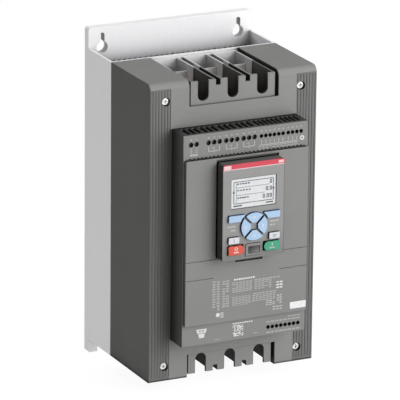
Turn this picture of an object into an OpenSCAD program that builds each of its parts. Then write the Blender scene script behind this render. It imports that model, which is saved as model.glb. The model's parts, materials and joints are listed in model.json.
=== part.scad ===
// Three phase soft starter for wall mounting: an air duct with a finned heat sink at the back,
// a moulded power cover in front of it, a control module on the cover and a keypad on the module.
// Millimetres. X runs to the right, Y to the back, Z up. The origin is the middle of the back face.
// Inside the file a place is given as x, as depth in front of the back face and as height above
// the lower edge of the mounting plate, and the three placing modules turn these into the frame.

/* [Mounting plate and air duct] */
// Width of the mounting plate, of the duct and of the cover
plate_w = 199.4; // [194:0.2:230]
// Height of the mounting plate
plate_h = 377; // [365:0.5:420]
// Thickness of the mounting plate
plate_t = 10; // [6:0.5:12]
// Corner radius of the mounting plate
plate_r = 3; // [1:0.5:6]
// Height of plate that shows above the body
top_flange = 23.2; // [20:0.2:34]
// Height of plate that shows below the body
bottom_flange = 16; // [14:0.5:26]
// Depth of the air duct, from the back face
frame_depth = 70; // [66:0.5:84]
// Side wall of the duct
frame_wall = 2.5; // [2:0.1:4]
// Front wall of the duct
front_wall = 2.5; // [2:0.1:4]
// Distance between the two keyholes
keyhole_pitch = 166.4; // [150:0.2:172]
// Diameter of a keyhole's round entry
keyhole_head_d = 13.4; // [11:0.2:15]
// Width of a keyhole's neck
keyhole_neck_w = 5.4; // [4.5:0.1:6.5]
// Centre of the entry below the plate's upper edge
keyhole_drop = 23; // [21:0.2:26]
// Reach of the neck above the centre of the entry
keyhole_rise = 16.5; // [12:0.5:18]
// Width of an open slot in the lower edge
foot_slot_w = 10; // [6:0.5:12]
// Height of an open slot in the lower edge
foot_slot_h = 11; // [7:0.5:12]

/* [Heat sink] */
// Thickness of the base that carries the power modules
sink_base_t = 9; // [6:0.5:12]
// Thickness of a fin
fin_t = 1.7; // [1.2:0.1:2.4]
// Spacing of the fins
fin_pitch = 6.5; // [5:0.1:9]
// Fins stop this far below the top of the duct
sink_top_drop = 16; // [10:0.5:30]
// Fins start this far above the bottom of the duct
sink_bottom_rise = 30; // [26:0.5:44]
// Width of the pad that fills the window of the duct's front wall
pad_w = 112; // [108:1:130]
// Height of the pad
pad_h = 128; // [120:1:150]

/* [Fans] */
// Side of a square fan frame
fan_size = 50; // [44:0.5:52]
// Height of a fan
fan_h = 15; // [12:0.5:17]
// Bore of a fan frame
fan_bore_d = 46.4; // [38:0.2:46.6]
// Distance between the two fan shafts
fan_pitch = 84; // [60:1:110]
// Diameter of a rotor hub
fan_hub_d = 23; // [18:0.5:26]
// Diameter of a fan shaft
fan_shaft_d = 3; // [2:0.2:4]
// Blades on a rotor
blade_count = 7; // [5:1:9]
// Thickness of the sheet that carries the fans
tray_t = 1.5; // [1:0.1:2.5]

/* [Power cover] */
// Depth of the cover, in front of the duct
cover_depth = 101; // [98:0.5:116]
// Wall of the cover
cover_wall = 2.7; // [2.4:0.1:3.6]
// Radius of the upper front edge
cover_top_r = 8; // [4:0.5:9]
// Radius of the lower front edge
cover_bottom_r = 2; // [1:0.5:4]
// Width of the two terminal openings
opening_w = 107; // [104:0.5:112]
// Drop of the line opening on the front face
line_drop = 29; // [27:0.2:33]
// Rise of the load opening on the front face
load_rise = 26.6; // [26:0.2:33]
// Thickness of the lip left along the long edge of an opening
lip_t = 0.9; // [0.6:0.1:1.4]
// Height of that lip
lip_h = 2.6; // [1.5:0.1:4]
// Grooves in each ribbed strip
groove_count = 7; // [4:1:9]
// Spacing of the grooves
groove_pitch = 3.5; // [2.5:0.1:3.8]
// Width of a groove
groove_w = 1.1; // [0.8:0.1:2]
// Depth of a groove
groove_t = 0.5; // [0.4:0.1:1.4]
// Middle of a ribbed strip in from the side
groove_inset = 13; // [12:0.1:14]
// Cover screws in from the side
screw_inset = 18.7; // [16:0.1:20]
// Upper cover screws below the top of the body
screw_drop = 20.7; // [17:0.1:24]
// Lower cover screws above the bottom of the body
screw_rise = 16.6; // [15:0.1:24]
// Diameter of a screw head
screw_head_d = 7.6; // [6:0.1:8]
// Height of a screw head
screw_head_h = 2.2; // [1.6:0.1:2.6]
// Diameter of a screw shank
screw_d = 4; // [3:0.1:5]
// Diameter of a counterbore in the cover
counterbore_d = 9.4; // [8.4:0.1:10]
// Depth of a counterbore
counterbore_t = 5; // [4:0.1:7]

/* [Power terminals] */
// Spacing of the phases
phase_pitch = 35.5; // [34.6:0.1:36.4]
// Gap between the walls of two phases
barrier_gap = 5.4; // [4.4:0.1:6]
// Thickness of a terminal wall
terminal_wall = 2; // [1.6:0.1:2.4]
// Terminal blocks stop this far inside the ends of the body
terminal_inset = 2.8; // [1.5:0.1:4]
// Depth at which the pale block hands over to the dark shroud
terminal_split = 115; // [110:0.5:122]
// Depth of the low cross wall in the pale block
ledge_depth = 100; // [95:0.5:108]
// Drop of the cross wall below the terminal walls
ledge_drop = 8; // [5:0.5:14]
// Thickness of a shroud's front wall
shroud_front = 3; // [2.4:0.1:4]
// Gap between a shroud's front and the inside of the cover
shroud_gap = 0.6; // [0.4:0.1:1.2]
// Width of a cable slot in a shroud's front
cable_slot_w = 13; // [10:0.5:16]
// Round end of a cable slot from the end of the body
cable_slot_end = 25.4; // [22:0.2:26]
// Notch between two phases from the end of the body
barrier_notch_end = 9.2; // [7:0.2:12]
// Floor of a terminal pocket from the end of the body
pocket_depth = 51; // [46:0.5:56]
// Thickness of a pocket floor
pocket_floor = 2.6; // [2:0.1:4]

/* [Power train] */
// Width of a busbar
bar_w = 20; // [16:0.5:24]
// Thickness of a busbar
bar_t = 4; // [3:0.5:5]
// Diameter of a terminal hole
bar_hole_d = 9; // [6.6:0.1:11]
// Depth of a terminal hole's axis
bar_hole_depth = 138; // [132:0.5:146]
// Width of a thyristor module
module_w = 34; // [30:0.5:34.4]
// Length of a thyristor module
module_h = 94; // [88:0.5:100]
// Height of a thyristor module
module_t = 30; // [28:0.5:32]
// Width of a bypass contactor
contactor_w = 33; // [28:0.5:34]
// Height of a bypass contactor
contactor_h = 88; // [80:0.5:100]
// Depth of a bypass contactor
contactor_t = 43; // [38:0.5:46]
// Side of a current transformer
transformer_w = 33; // [28:0.5:34]
// Height of a current transformer
transformer_h = 24; // [18:0.5:28]
// Thickness of the circuit boards
board_t = 1.6; // [1.2:0.1:2]

/* [Control module] */
// Lower edge of the control module above the plate's lower edge
control_bottom = 63.5; // [60:0.5:70]
// Module's side to the first terminal on the left
strip_left = 8.9; // [8.5:0.1:12]
// Last terminal to the module's side on the right
strip_right = 8.1; // [7:0.1:11]
// Control module in front of the cover
control_depth = 30; // [28:0.5:34]
// Wall of the control module
control_wall = 2.5; // [2:0.1:3]
// Front panel in from the module's side
panel_inset = 1.3; // [1.1:0.1:3]
// Thickness of the front panel
panel_t = 5; // [4:0.1:6]
// Height of the terminal strip above the panel
strip_h = 27.5; // [26:0.5:30]
// Height of the lower section below the panel
lower_h = 24.5; // [22:0.5:28]
// Pole spacing of the four relay plugs
wide_pitch = 6.55; // [6.2:0.05:6.7]
// Pole spacing of the signal plugs
narrow_pitch = 5.2; // [4.8:0.05:5.25]
// Diameter of a screwdriver hole of the relay plugs
relay_hole_d = 5.4; // [4.4:0.1:5.6]
// Diameter of a screwdriver hole of the signal plugs
signal_hole_d = 4.3; // [3.4:0.1:4.4]
// Upper driver holes below the top of the module
upper_hole_drop = 10.8; // [9:0.1:13]
// Lower driver holes above the bottom of the module
lower_hole_rise = 9.1; // [8:0.1:12]
// Width of a wire slot above the relay plugs
wire_slot_w = 4.2; // [3:0.1:4.8]
// Width of a wire slot above the signal plugs
signal_slot_w = 3.4; // [2.4:0.1:3.8]
// Wire slots in front of the cover
slot_back_set = 6; // [4:0.5:10]
// Wire slots behind the module's front
slot_front_set = 4.5; // [3.5:0.5:8]
// Spacing of the vents above the panel
vent_pitch = 4.75; // [4:0.05:6]
// Width of a vent above the panel
vent_w = 2.7; // [1.5:0.1:3.4]
// Joint line of the panel below the keypad
joint_line_rise = 73; // [72:0.5:73.4]
// Short joint lines at the sides of the panel
side_line_rise = 52; // [44:0.5:60]
// Width of a joint line
joint_line_w = 0.8; // [0.4:0.1:1.2]

/* [Keypad] */
// Width of the keypad
keypad_w = 73.6; // [72:0.2:78]
// Height of the keypad
keypad_h = 108; // [106:0.5:112]
// Keypad's lower edge above the panel's lower edge
keypad_rise = 74.5; // [74.2:0.1:77]
// Panel above the keypad
keypad_head = 4.5; // [4:0.1:6]
// Keypad in front of the panel
keypad_proud = 15.5; // [14.5:0.1:18]
// Depth of the keypad's seat in the panel
seat_t = 3; // [2:0.1:3.5]
// Corner radius of the keypad
keypad_r = 2; // [1:0.2:3]
// Front wall of the keypad
keypad_wall = 2; // [1.6:0.1:2.4]
// Width of the display
display_w = 54.4; // [48:0.2:56]
// Height of the display
display_h = 34.2; // [30:0.2:35]
// Middle of the display above the keypad's lower edge
display_rise = 74.4; // [74:0.2:75.5]
// Height of the coloured band
band_h = 5.3; // [4:0.1:6.5]
// Keys stand this far in front of the keypad
key_proud = 2.8; // [2.2:0.1:3.5]
// Travel of a key
key_travel = 1; // [0.6:0.1:1.4]
// Clearance round a key
key_gap = 0.35; // [0.25:0.05:0.4]
// Diameter of the arrow pad
nav_d = 31.2; // [30:0.2:32]
// Side of the free square in the middle of the arrow pad
nav_core = 8.6; // [7:0.2:10]
// Gap between two arrow keys
nav_gap = 2.4; // [1.6:0.1:2.6]
// Middle of the arrow pad above the keypad's lower edge
nav_rise = 36.3; // [36:0.1:36.8]
// Width of the port cover
port_w = 18.6; // [16:0.2:20]
// Height of the port cover
port_h = 13.8; // [12:0.2:14.4]
// Port cover above the keypad's lower edge
port_rise = 3; // [2.6:0.1:3.2]
// Thickness of the port cover
port_t = 1.8; // [1.5:0.1:1.9]

/* [Hidden] */
$fn = 64;
// Overlap of pieces that are joined, and overrun of cuts
eps = 0.02;
over = 1;
// Bodies that only have to slip past each other
fit = 0.3;
// Radial running clearance of a shaft
run_fit = 0.05;
half_w = plate_w / 2;
body_low = bottom_flange;
body_high = plate_h - top_flange;
body_mid = (body_low + body_high) / 2;
cover_front = frame_depth + cover_depth;
control_front = cover_front + control_depth;
panel_front = control_front + panel_t;
keypad_front = panel_front + keypad_proud;
panel_low = control_bottom + lower_h;
keypad_low = panel_low + keypad_rise;
keypad_high = keypad_low + keypad_h;
panel_high = keypad_high + keypad_head;
control_high = panel_high + strip_h;
// Plugs in a row: four relay plugs with a wire slot for each place, then two signal plugs
relay_poles = [2, 3, 3, 3];
relay_slots = 3;
signal_poles = [6, 4, 5, 3];
relay_gap = 1.2;
signal_gap = 1;
relay_group = relay_slots * wide_pitch + relay_gap;
signal_start = len(relay_poles) * relay_group + (narrow_pitch - wide_pitch) / 2 + signal_gap + fit;
signal_next = signal_start + signal_poles[0] * narrow_pitch + signal_gap;
signal_last = signal_next + (signal_poles[1] - 1) * narrow_pitch;
control_w = strip_left + signal_last + strip_right;
panel_w = control_w - 2 * panel_inset;
keypad_back_depth = panel_front - seat_t;
duct_x = half_w - frame_wall;
phases = [-1, 0, 1];
pocket_half = (phase_pitch - barrier_gap) / 2;
block_half = phase_pitch + pocket_half;
terminal_high = body_high - terminal_inset;
floor_high = body_high - pocket_depth;
shroud_face = cover_front - cover_wall - shroud_gap;
bar_back = frame_depth + module_t;
// Control board in front of the cover
board_standoff = 8;
control_board_depth = cover_front + board_standoff;
driver_board_depth = bar_back + bar_t + contactor_t;
plug_front = control_front - control_wall - fit;
// Joint of the keypad's two shells in front of the panel
split_proud = 3;
keypad_split = panel_front + split_proud;
nav_height = keypad_low + nav_rise;
// Flange that holds a key behind the keypad's front
key_flange_t = 1.4;
key_flange = 1;
nav_flange = 0.25;
// Contact domes on the keypad's board, which a pressed key just clears
dome_t = 0.8;
board_drop = key_flange_t + key_travel + fit + dome_t + board_t;
keypad_board_depth = keypad_front - keypad_wall - board_drop;

// Placing: ranges of x, depth and height
module block(x, depth, height) {
    translate([x[0], -depth[1], height[0] - plate_h / 2])
        cube([x[1] - x[0], depth[1] - depth[0], height[1] - height[0]]);
}

// Extrudes a shape drawn in x and height over a range of depth
module forward(depth) {
    translate([0, -depth[0], -plate_h / 2])
        rotate([90, 0, 0])
            linear_extrude(depth[1] - depth[0])
                children();
}

// Extrudes a shape drawn in depth and height over a range of x
module across(x) {
    translate([x[0], 0, -plate_h / 2])
        rotate([90, 0, 90])
            linear_extrude(x[1] - x[0])
                mirror([1, 0])
                    children();
}

// Extrudes a shape drawn in x and depth over a range of height
module upward(height) {
    translate([0, 0, height[0] - plate_h / 2])
        linear_extrude(height[1] - height[0])
            mirror([0, 1])
                children();
}

// Turns what is drawn at the line end over to the load end
module load_end() {
    translate([0, 0, 2 * body_mid - plate_h])
        mirror([0, 0, 1])
            children();
}

module rectangle(x, y) {
    translate([x[0], y[0]])
        square([x[1] - x[0], y[1] - y[0]]);
}

module round_rectangle(x, y, r) {
    rectangle([x[0] + r, x[1] - r], y);
    rectangle(x, [y[0] + r, y[1] - r]);
    for (px = [x[0] + r, x[1] - r], py = [y[0] + r, y[1] - r])
        translate([px, py])
            circle(r);
}

function around(middle, width) = [middle - width / 2, middle + width / 2];
function mirrored(half) = [-half, half];

// Mounting plate and air duct
module keyhole_outline() {
    neck_r = keyhole_neck_w / 2;
    circle(d = keyhole_head_d);
    rectangle(mirrored(neck_r), [0, keyhole_rise - neck_r]);
    translate([0, keyhole_rise - neck_r])
        circle(neck_r);
}

module foot_slot_outline() {
    slot_r = foot_slot_w / 2;
    rectangle(mirrored(slot_r), [-eps, foot_slot_h - slot_r]);
    translate([0, foot_slot_h - slot_r])
        circle(slot_r);
}

module plate_outline() {
    difference() {
        round_rectangle(mirrored(half_w), [0, plate_h], plate_r);
        for (side = [-1, 1]) {
            translate([side * keyhole_pitch / 2, plate_h - keyhole_drop])
                keyhole_outline();
            translate([side * keyhole_pitch / 2, 0])
                foot_slot_outline();
        }
    }
}

module at_cover_screws() {
    for (side = [-1, 1], height = [body_low + screw_rise, body_high - screw_drop])
        translate([side * (half_w - screw_inset), height])
            children();
}

module rear_frame() {
    color([0.86, 0.86, 0.87]) {
        difference() {
            union() {
                forward([0, plate_t])
                    plate_outline();
                for (side = [-1, 1])
                    block(
                        around(side * (half_w - frame_wall / 2), frame_wall),
                        [plate_t, frame_depth],
                        [body_low, body_high]
                    );
                block(mirrored(half_w), [frame_depth - front_wall, frame_depth], [body_low, body_high]);
            }
            block(
                mirrored(pad_w / 2 + fit),
                [frame_depth - front_wall - eps, frame_depth + eps],
                around(body_mid, pad_h + 2 * fit)
            );
            forward([frame_depth - front_wall - eps, frame_depth + eps])
                at_cover_screws()
                    circle(d = screw_d);
        }
    }
}

// Heat sink: a base with a pad for the power modules, and fins bonded to its back
sink_base = [frame_depth - front_wall - sink_base_t, frame_depth - front_wall];
sink_height = [body_low + sink_bottom_rise, body_high - sink_top_drop];

module heat_sink() {
    screw_pocket_gap = 1.5;
    screw_pocket_d = screw_d + 2 * screw_pocket_gap;
    color([0.78, 0.79, 0.81])
        difference() {
            union() {
                block(mirrored(duct_x - fit), sink_base, sink_height);
                block(mirrored(pad_w / 2), [sink_base[0], frame_depth], around(body_mid, pad_h));
            }
            forward([sink_base[0] - over, frame_depth])
                at_cover_screws()
                    circle(d = screw_pocket_d);
        }
}

module sink_fins() {
    fin_count = floor((2 * duct_x - fin_t - 2 * fit) / fin_pitch) + 1;
    first = -(fin_count - 1) / 2 * fin_pitch;
    color([0.78, 0.79, 0.81])
        for (i = [0:fin_count - 1])
            block(around(first + i * fin_pitch, fin_t), [plate_t + fit, sink_base[0]], sink_height);
}

// Fans below the fins
fan_depth = (plate_t + frame_depth - front_wall) / 2;
tray_rise = 1;
fan_low = body_low + tray_rise + tray_t;
fan_hub_t = 3;
rotor_gap = 0.5;
fan_rotor_low = fan_low + fan_hub_t + rotor_gap;
fan_screw_inset = 4;
fan_screw_pitch = fan_size - 2 * fan_screw_inset;

module at_fan(side) {
    translate([side * fan_pitch / 2, fan_depth])
        children();
}

module fan_tray() {
    color([0.75, 0.76, 0.78])
        upward([fan_low - tray_t, fan_low])
            difference() {
                rectangle(mirrored(duct_x), [plate_t, frame_depth - front_wall]);
                for (side = [-1, 1])
                    at_fan(side)
                        circle(d = fan_bore_d);
            }
}

module fan_frame(side) {
    corner_r = 3;
    mount_d = 3.4;
    strut_w = 3;
    color([0.16, 0.16, 0.17]) {
        upward([fan_low, fan_low + fan_h])
            at_fan(side)
                difference() {
                    round_rectangle(mirrored(fan_size / 2), mirrored(fan_size / 2), corner_r);
                    circle(d = fan_bore_d);
                    for (x = [-1, 1], y = [-1, 1])
                        translate([x * fan_screw_pitch / 2, y * fan_screw_pitch / 2])
                            circle(d = mount_d);
                }
        upward([fan_low, fan_low + fan_hub_t])
            at_fan(side)
                difference() {
                    union() {
                        circle(d = fan_hub_d);
                        for (turn = [45, 135])
                            rotate(turn)
                                rectangle(mirrored(fan_bore_d / 2 + over / 2), mirrored(strut_w / 2));
                    }
                    circle(d = fan_shaft_d + 2 * run_fit);
                }
    }
}

module fan_rotor(side) {
    top_gap = 1;
    hub_h = fan_h - fan_hub_t - rotor_gap - top_gap;
    blade_t = 1.3;
    blade_pitch_angle = 38;
    tip_gap = 0.9;
    color([0.11, 0.11, 0.12])
        translate([side * fan_pitch / 2, -fan_depth, fan_rotor_low - plate_h / 2]) {
            cylinder(d = fan_hub_d, h = hub_h);
            translate([0, 0, fan_low - fan_rotor_low])
                cylinder(d = fan_shaft_d, h = fan_rotor_low - fan_low + over);
            intersection() {
                cylinder(r = fan_bore_d / 2 - tip_gap, h = hub_h);
                for (i = [0:blade_count - 1])
                    rotate(i * 360 / blade_count)
                        translate([fan_hub_d / 2 - over, 0, hub_h / 2])
                            rotate([blade_pitch_angle, 0, 0])
                                translate([0, -fan_h, -blade_t / 2])
                                    cube([fan_bore_d / 2, 2 * fan_h, blade_t]);
            }
        }
}

// Power train: modules, busbars, contactors, transformers
module at_phase(phase) {
    translate([phase * phase_pitch, 0, 0])
        children();
}

// Spacing of the screw studs on a thyristor module
stud_pitch = 26;

module thyristor_module(phase) {
    foot_t = 3;
    shoulder = 2;
    end_shoulder = 4;
    stud_d = 12;
    stud_t = 1.5;
    color([0.17, 0.16, 0.16])
        at_phase(phase) {
            block(mirrored(module_w / 2), [frame_depth, frame_depth + foot_t], around(body_mid, module_h));
            block(
                mirrored(module_w / 2 - shoulder),
                [frame_depth, bar_back - stud_t],
                around(body_mid, module_h - 2 * end_shoulder)
            );
            forward([bar_back - stud_t - eps, bar_back])
                for (rise = [-1, 0, 1])
                    translate([0, body_mid + rise * stud_pitch])
                        circle(d = stud_d);
        }
}

bar_hole_back_d = 6.5;
bar_bend_r = 6;

module busbar(phase) {
    tip = bar_hole_depth + bar_w;
    low = body_mid + stud_pitch - bar_w / 2;
    inner_r = bar_bend_r - bar_t;
    bend = [bar_back + bar_bend_r, floor_high + bar_t - bar_bend_r];
    color([0.72, 0.45, 0.28])
        at_phase(phase)
            difference() {
                across(mirrored(bar_w / 2)) {
                    rectangle([bar_back, bar_back + bar_t], [low, bend[1]]);
                    rectangle([bend[0], tip], [floor_high, floor_high + bar_t]);
                    difference() {
                        translate(bend)
                            circle(bar_bend_r);
                        translate(bend)
                            circle(inner_r);
                        rectangle([bend[0], tip], [low, floor_high + bar_t + over]);
                        rectangle([bar_back - over, tip], [low, bend[1]]);
                    }
                }
                upward([floor_high - over, floor_high + bar_t + over])
                    translate([0, bar_hole_depth])
                        circle(d = bar_hole_d);
                forward([bar_back - over, bar_back + bar_t + over])
                    translate([0, body_mid + stud_pitch])
                        circle(d = bar_hole_back_d);
            }
}

module bypass_contactor(phase) {
    base_t = 24;
    side_step = 2;
    end_step = 8;
    back = bar_back + bar_t;
    color([0.20, 0.20, 0.21])
        at_phase(phase) {
            block(mirrored(contactor_w / 2), [back, back + base_t], around(body_mid, contactor_h));
            block(
                mirrored(contactor_w / 2 - side_step),
                [back, back + contactor_t],
                around(body_mid, contactor_h - 2 * end_step)
            );
        }
}

module current_transformer(phase) {
    height = around(body_mid - contactor_h / 2 - transformer_h, transformer_h);
    middle = bar_back + bar_t / 2;
    corner_r = 3;
    color([0.14, 0.17, 0.24])
        at_phase(phase)
            upward(height)
                difference() {
                    round_rectangle(mirrored(transformer_w / 2), around(middle, transformer_w), corner_r);
                    rectangle(mirrored(bar_w / 2 + fit), around(middle, bar_t + 2 * fit));
                }
}

module driver_board() {
    side_margin = 6;
    end_margin = 21;
    board_w = 2 * phase_pitch + contactor_w + 2 * side_margin;
    board_h = contactor_h + 2 * end_margin;
    front = driver_board_depth + board_t;
    can_d = 9;
    can_h = 10;
    can_x = 6.5;
    can_drop = 18;
    core_w = 18;
    core_h = 16;
    core_t = 8;
    core_rise = 24;
    color([0.10, 0.32, 0.20]) {
        block(mirrored(board_w / 2), [driver_board_depth, front], around(body_mid, board_h));
        for (phase = phases) {
            at_phase(phase) {
                block(mirrored(core_w / 2), [front, front + core_t], around(body_mid + core_rise, core_h));
                forward([front, front + can_h])
                    for (side = [-1, 1])
                        translate([side * can_x, body_mid - can_drop])
                            circle(d = can_d);
            }
        }
    }
}

// Power terminals: the pale block at the back and the dark shroud in front of it
module terminal_wall_lines(depth, height) {
    for (phase = phases, side = [-1, 1])
        block(
            around(phase * phase_pitch + side * (pocket_half - terminal_wall / 2), terminal_wall),
            depth,
            height
        );
}

module bar_passage(phase) {
    at_phase(phase)
        block(
            mirrored(bar_w / 2 + fit),
            [bar_back - fit, bar_hole_depth + bar_w + fit],
            [floor_high - pocket_floor - over, floor_high + bar_t + fit]
        );
}

module terminal_block() {
    back_wall = 3;
    ledge_t = 2.4;
    color([0.80, 0.80, 0.81])
        difference() {
            union() {
                block(
                    mirrored(block_half),
                    [frame_depth, frame_depth + back_wall],
                    [floor_high, terminal_high]
                );
                block(
                    mirrored(block_half),
                    [frame_depth, terminal_split],
                    [floor_high - pocket_floor, floor_high]
                );
                terminal_wall_lines([frame_depth, terminal_split], [floor_high - eps, terminal_high]);
                for (phase = phases)
                    at_phase(phase)
                        block(
                            mirrored(pocket_half - eps),
                            around(ledge_depth - ledge_t / 2, ledge_t),
                            [floor_high - eps, terminal_high - ledge_drop]
                        );
            }
            for (phase = phases)
                bar_passage(phase);
        }
}

module shroud() {
    front = [shroud_face - shroud_front, shroud_face];
    slot_r = cable_slot_w / 2;
    slot_centre = body_high - cable_slot_end + slot_r;
    nut_wall = 4.5;
    nut_w = bar_hole_d + 2 * nut_wall;
    color([0.36, 0.36, 0.355])
        difference() {
            union() {
                block(mirrored(block_half), front, [floor_high - pocket_floor, terminal_high]);
                block(
                    mirrored(block_half),
                    [terminal_split, front[1]],
                    [floor_high - pocket_floor, floor_high]
                );
                terminal_wall_lines([terminal_split, front[1]], [floor_high - eps, terminal_high]);
            }
            forward([front[0] - eps, front[1] + eps]) {
                for (phase = phases)
                    translate([phase * phase_pitch, slot_centre]) {
                        circle(slot_r);
                        rectangle(mirrored(slot_r), [0, body_high]);
                    }
                for (side = [-0.5, 0.5])
                    rectangle(
                        around(side * phase_pitch, barrier_gap),
                        [body_high - barrier_notch_end, body_high]
                    );
            }
            for (phase = phases)
                at_phase(phase)
                    block(
                        mirrored(nut_w / 2),
                        [terminal_split - over, bar_hole_depth + nut_w / 2],
                        [floor_high - pocket_floor - over, floor_high + eps]
                    );
        }
}

// Power cover
module cover_profile() {
    rectangle([frame_depth, cover_front - cover_top_r], [body_low, body_high]);
    rectangle([frame_depth, cover_front], [body_low + cover_bottom_r, body_high - cover_top_r]);
    rectangle([frame_depth, cover_front - cover_bottom_r], [body_low, body_mid]);
    translate([cover_front - cover_top_r, body_high - cover_top_r])
        circle(cover_top_r);
    translate([cover_front - cover_bottom_r, body_low + cover_bottom_r])
        circle(cover_bottom_r);
}

module cover_hollow() {
    inner_r = cover_top_r - cover_wall;
    front = cover_front - cover_wall;
    high = body_high - cover_wall;
    rectangle([frame_depth - over, front - inner_r], [body_low + cover_wall, high]);
    rectangle([frame_depth - over, front], [body_low + cover_wall, high - inner_r]);
    translate([front - inner_r, high - inner_r])
        circle(inner_r);
}

module cover_grooves() {
    first = -(groove_count - 1) / 2 * groove_pitch;
    end_margin = 3.6;
    ends = [body_low + cover_bottom_r + end_margin, body_high - cover_top_r];
    for (side = [-1, 1], i = [0:groove_count - 1])
        block(
            around(side * (half_w - groove_inset) + first + i * groove_pitch, groove_w),
            [cover_front - groove_t, cover_front + over],
            ends
        );
}

module power_cover() {
    half_open = opening_w / 2;
    wall = 2.5;
    boss_wall = 2;
    boss_d = counterbore_d + 2 * boss_wall;
    link_w = 40;
    link_h = 24;
    side_heights = [[body_low, body_low + pocket_depth], [floor_high, body_high]];
    color([0.36, 0.36, 0.355])
        difference() {
            union() {
                difference() {
                    across(mirrored(half_w))
                        cover_profile();
                    across(mirrored(half_w - cover_wall))
                        cover_hollow();
                }
                intersection() {
                    across(mirrored(half_w))
                        cover_profile();
                    for (side = [-1, 1], height = side_heights)
                        block(
                            around(side * (half_open + wall / 2), wall),
                            [frame_depth, cover_front],
                            height
                        );
                }
                forward([frame_depth, cover_front - cover_wall + eps])
                    at_cover_screws()
                        circle(d = boss_d);
            }
            block(
                mirrored(half_open),
                [frame_depth - over, cover_front + over],
                [body_high - line_drop, body_high + over]
            );
            block(
                mirrored(half_open),
                [frame_depth - over, cover_front + over],
                [body_low - over, body_low + load_rise]
            );
            block(
                mirrored(half_open),
                [shroud_face, cover_front - lip_t],
                [body_high - line_drop - lip_h, body_high]
            );
            block(
                mirrored(half_open),
                [shroud_face, cover_front - lip_t],
                [body_low, body_low + load_rise + lip_h]
            );
            block(
                mirrored(link_w / 2),
                [cover_front - cover_wall - over, cover_front + over],
                around(body_mid, link_h)
            );
            cover_grooves();
            forward([cover_front - counterbore_t, cover_front + over])
                at_cover_screws()
                    circle(d = counterbore_d);
            forward([frame_depth - over, cover_front])
                at_cover_screws()
                    circle(d = screw_d + 2 * fit);
        }
}

module cover_screws() {
    seat = cover_front - counterbore_t;
    recess_w = 1.1;
    recess_l = 4.4;
    recess_t = 1.3;
    tip = 2;
    color([0.85, 0.85, 0.86])
        difference() {
            union() {
                forward([seat, seat + screw_head_h])
                    at_cover_screws()
                        circle(d = screw_head_d);
                forward([frame_depth - front_wall - tip, seat])
                    at_cover_screws()
                        circle(d = screw_d);
            }
            forward([seat + screw_head_h - recess_t, seat + screw_head_h + over])
                at_cover_screws() {
                    square([recess_w, recess_l], center = true);
                    square([recess_l, recess_w], center = true);
                }
        }
}

// Control module: plugs given as first pole, poles, spacing and height of the driver holes
upper_holes = control_high - upper_hole_drop;
lower_holes = control_bottom + lower_hole_rise;
first_pole = strip_left - control_w / 2;
relay_first = [for (i = [0:3]) first_pole + i * relay_group];
lower_first = signal_last - (signal_poles[2] + signal_poles[3] - 1) * narrow_pitch;
signal_places = [signal_start, signal_next, lower_first, lower_first + signal_poles[2] * narrow_pitch];
signal_first = [for (place = signal_places) first_pole + place];
signal_height = [upper_holes, upper_holes, lower_holes, lower_holes];
plug_half_h = lower_hole_rise - control_wall - fit;
// Wells in the plugs, a step narrower than the holes in front of them, and the screws on their floors
relay_well = 2.2;
signal_well = 4.5;
well_step = 0.4;
relay_well_d = relay_hole_d - 2 * well_step;
signal_well_d = signal_hole_d - 2 * well_step;

module at_poles(first, poles, pitch, height) {
    for (i = [0:poles - 1])
        translate([first + i * pitch, height])
            children();
}

module at_relay_poles() {
    for (i = [0:3])
        at_poles(relay_first[i], relay_poles[i], wide_pitch, upper_holes)
            children();
}

module at_signal_poles() {
    for (i = [0:3])
        at_poles(signal_first[i], signal_poles[i], narrow_pitch, signal_height[i])
            children();
}

module plug(first, poles, pitch, height, well, well_d) {
    color([0.13, 0.13, 0.13])
        difference() {
            forward([control_board_depth + board_t, plug_front])
                rectangle(
                    [first - pitch / 2 + fit / 2, first + (poles - 0.5) * pitch - fit / 2],
                    around(height, 2 * plug_half_h)
                );
            forward([plug_front - well, plug_front + over])
                at_poles(first, poles, pitch, height)
                    circle(d = well_d);
        }
}

module relay_plug(i) {
    plug(relay_first[i], relay_poles[i], wide_pitch, upper_holes, relay_well, relay_well_d);
}

module signal_plug(i) {
    plug(signal_first[i], signal_poles[i], narrow_pitch, signal_height[i], signal_well, signal_well_d);
}

// Outline of a screw's head with its slot
module screw_head(d, slot_w) {
    difference() {
        circle(d = d);
        square([d + over, slot_w], center = true);
    }
}

module plug_screws() {
    slot_w = 0.7;
    slot_t = 0.8;
    screw_t = 1.8;
    relay_seat = plug_front - relay_well;
    signal_seat = plug_front - signal_well;
    relay_head_d = relay_well_d - 2 * fit;
    signal_head_d = signal_well_d - 2 * fit;
    color([0.75, 0.75, 0.76]) {
        forward([relay_seat, relay_seat + screw_t - slot_t + eps])
            at_relay_poles()
                circle(d = relay_head_d);
        forward([relay_seat + screw_t - slot_t, relay_seat + screw_t])
            at_relay_poles()
                screw_head(relay_head_d, slot_w);
        forward([signal_seat, signal_seat + screw_t - slot_t + eps])
            at_signal_poles()
                circle(d = signal_head_d);
        forward([signal_seat + screw_t - slot_t, signal_seat + screw_t])
            at_signal_poles()
                screw_head(signal_head_d, slot_w);
    }
}

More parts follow.
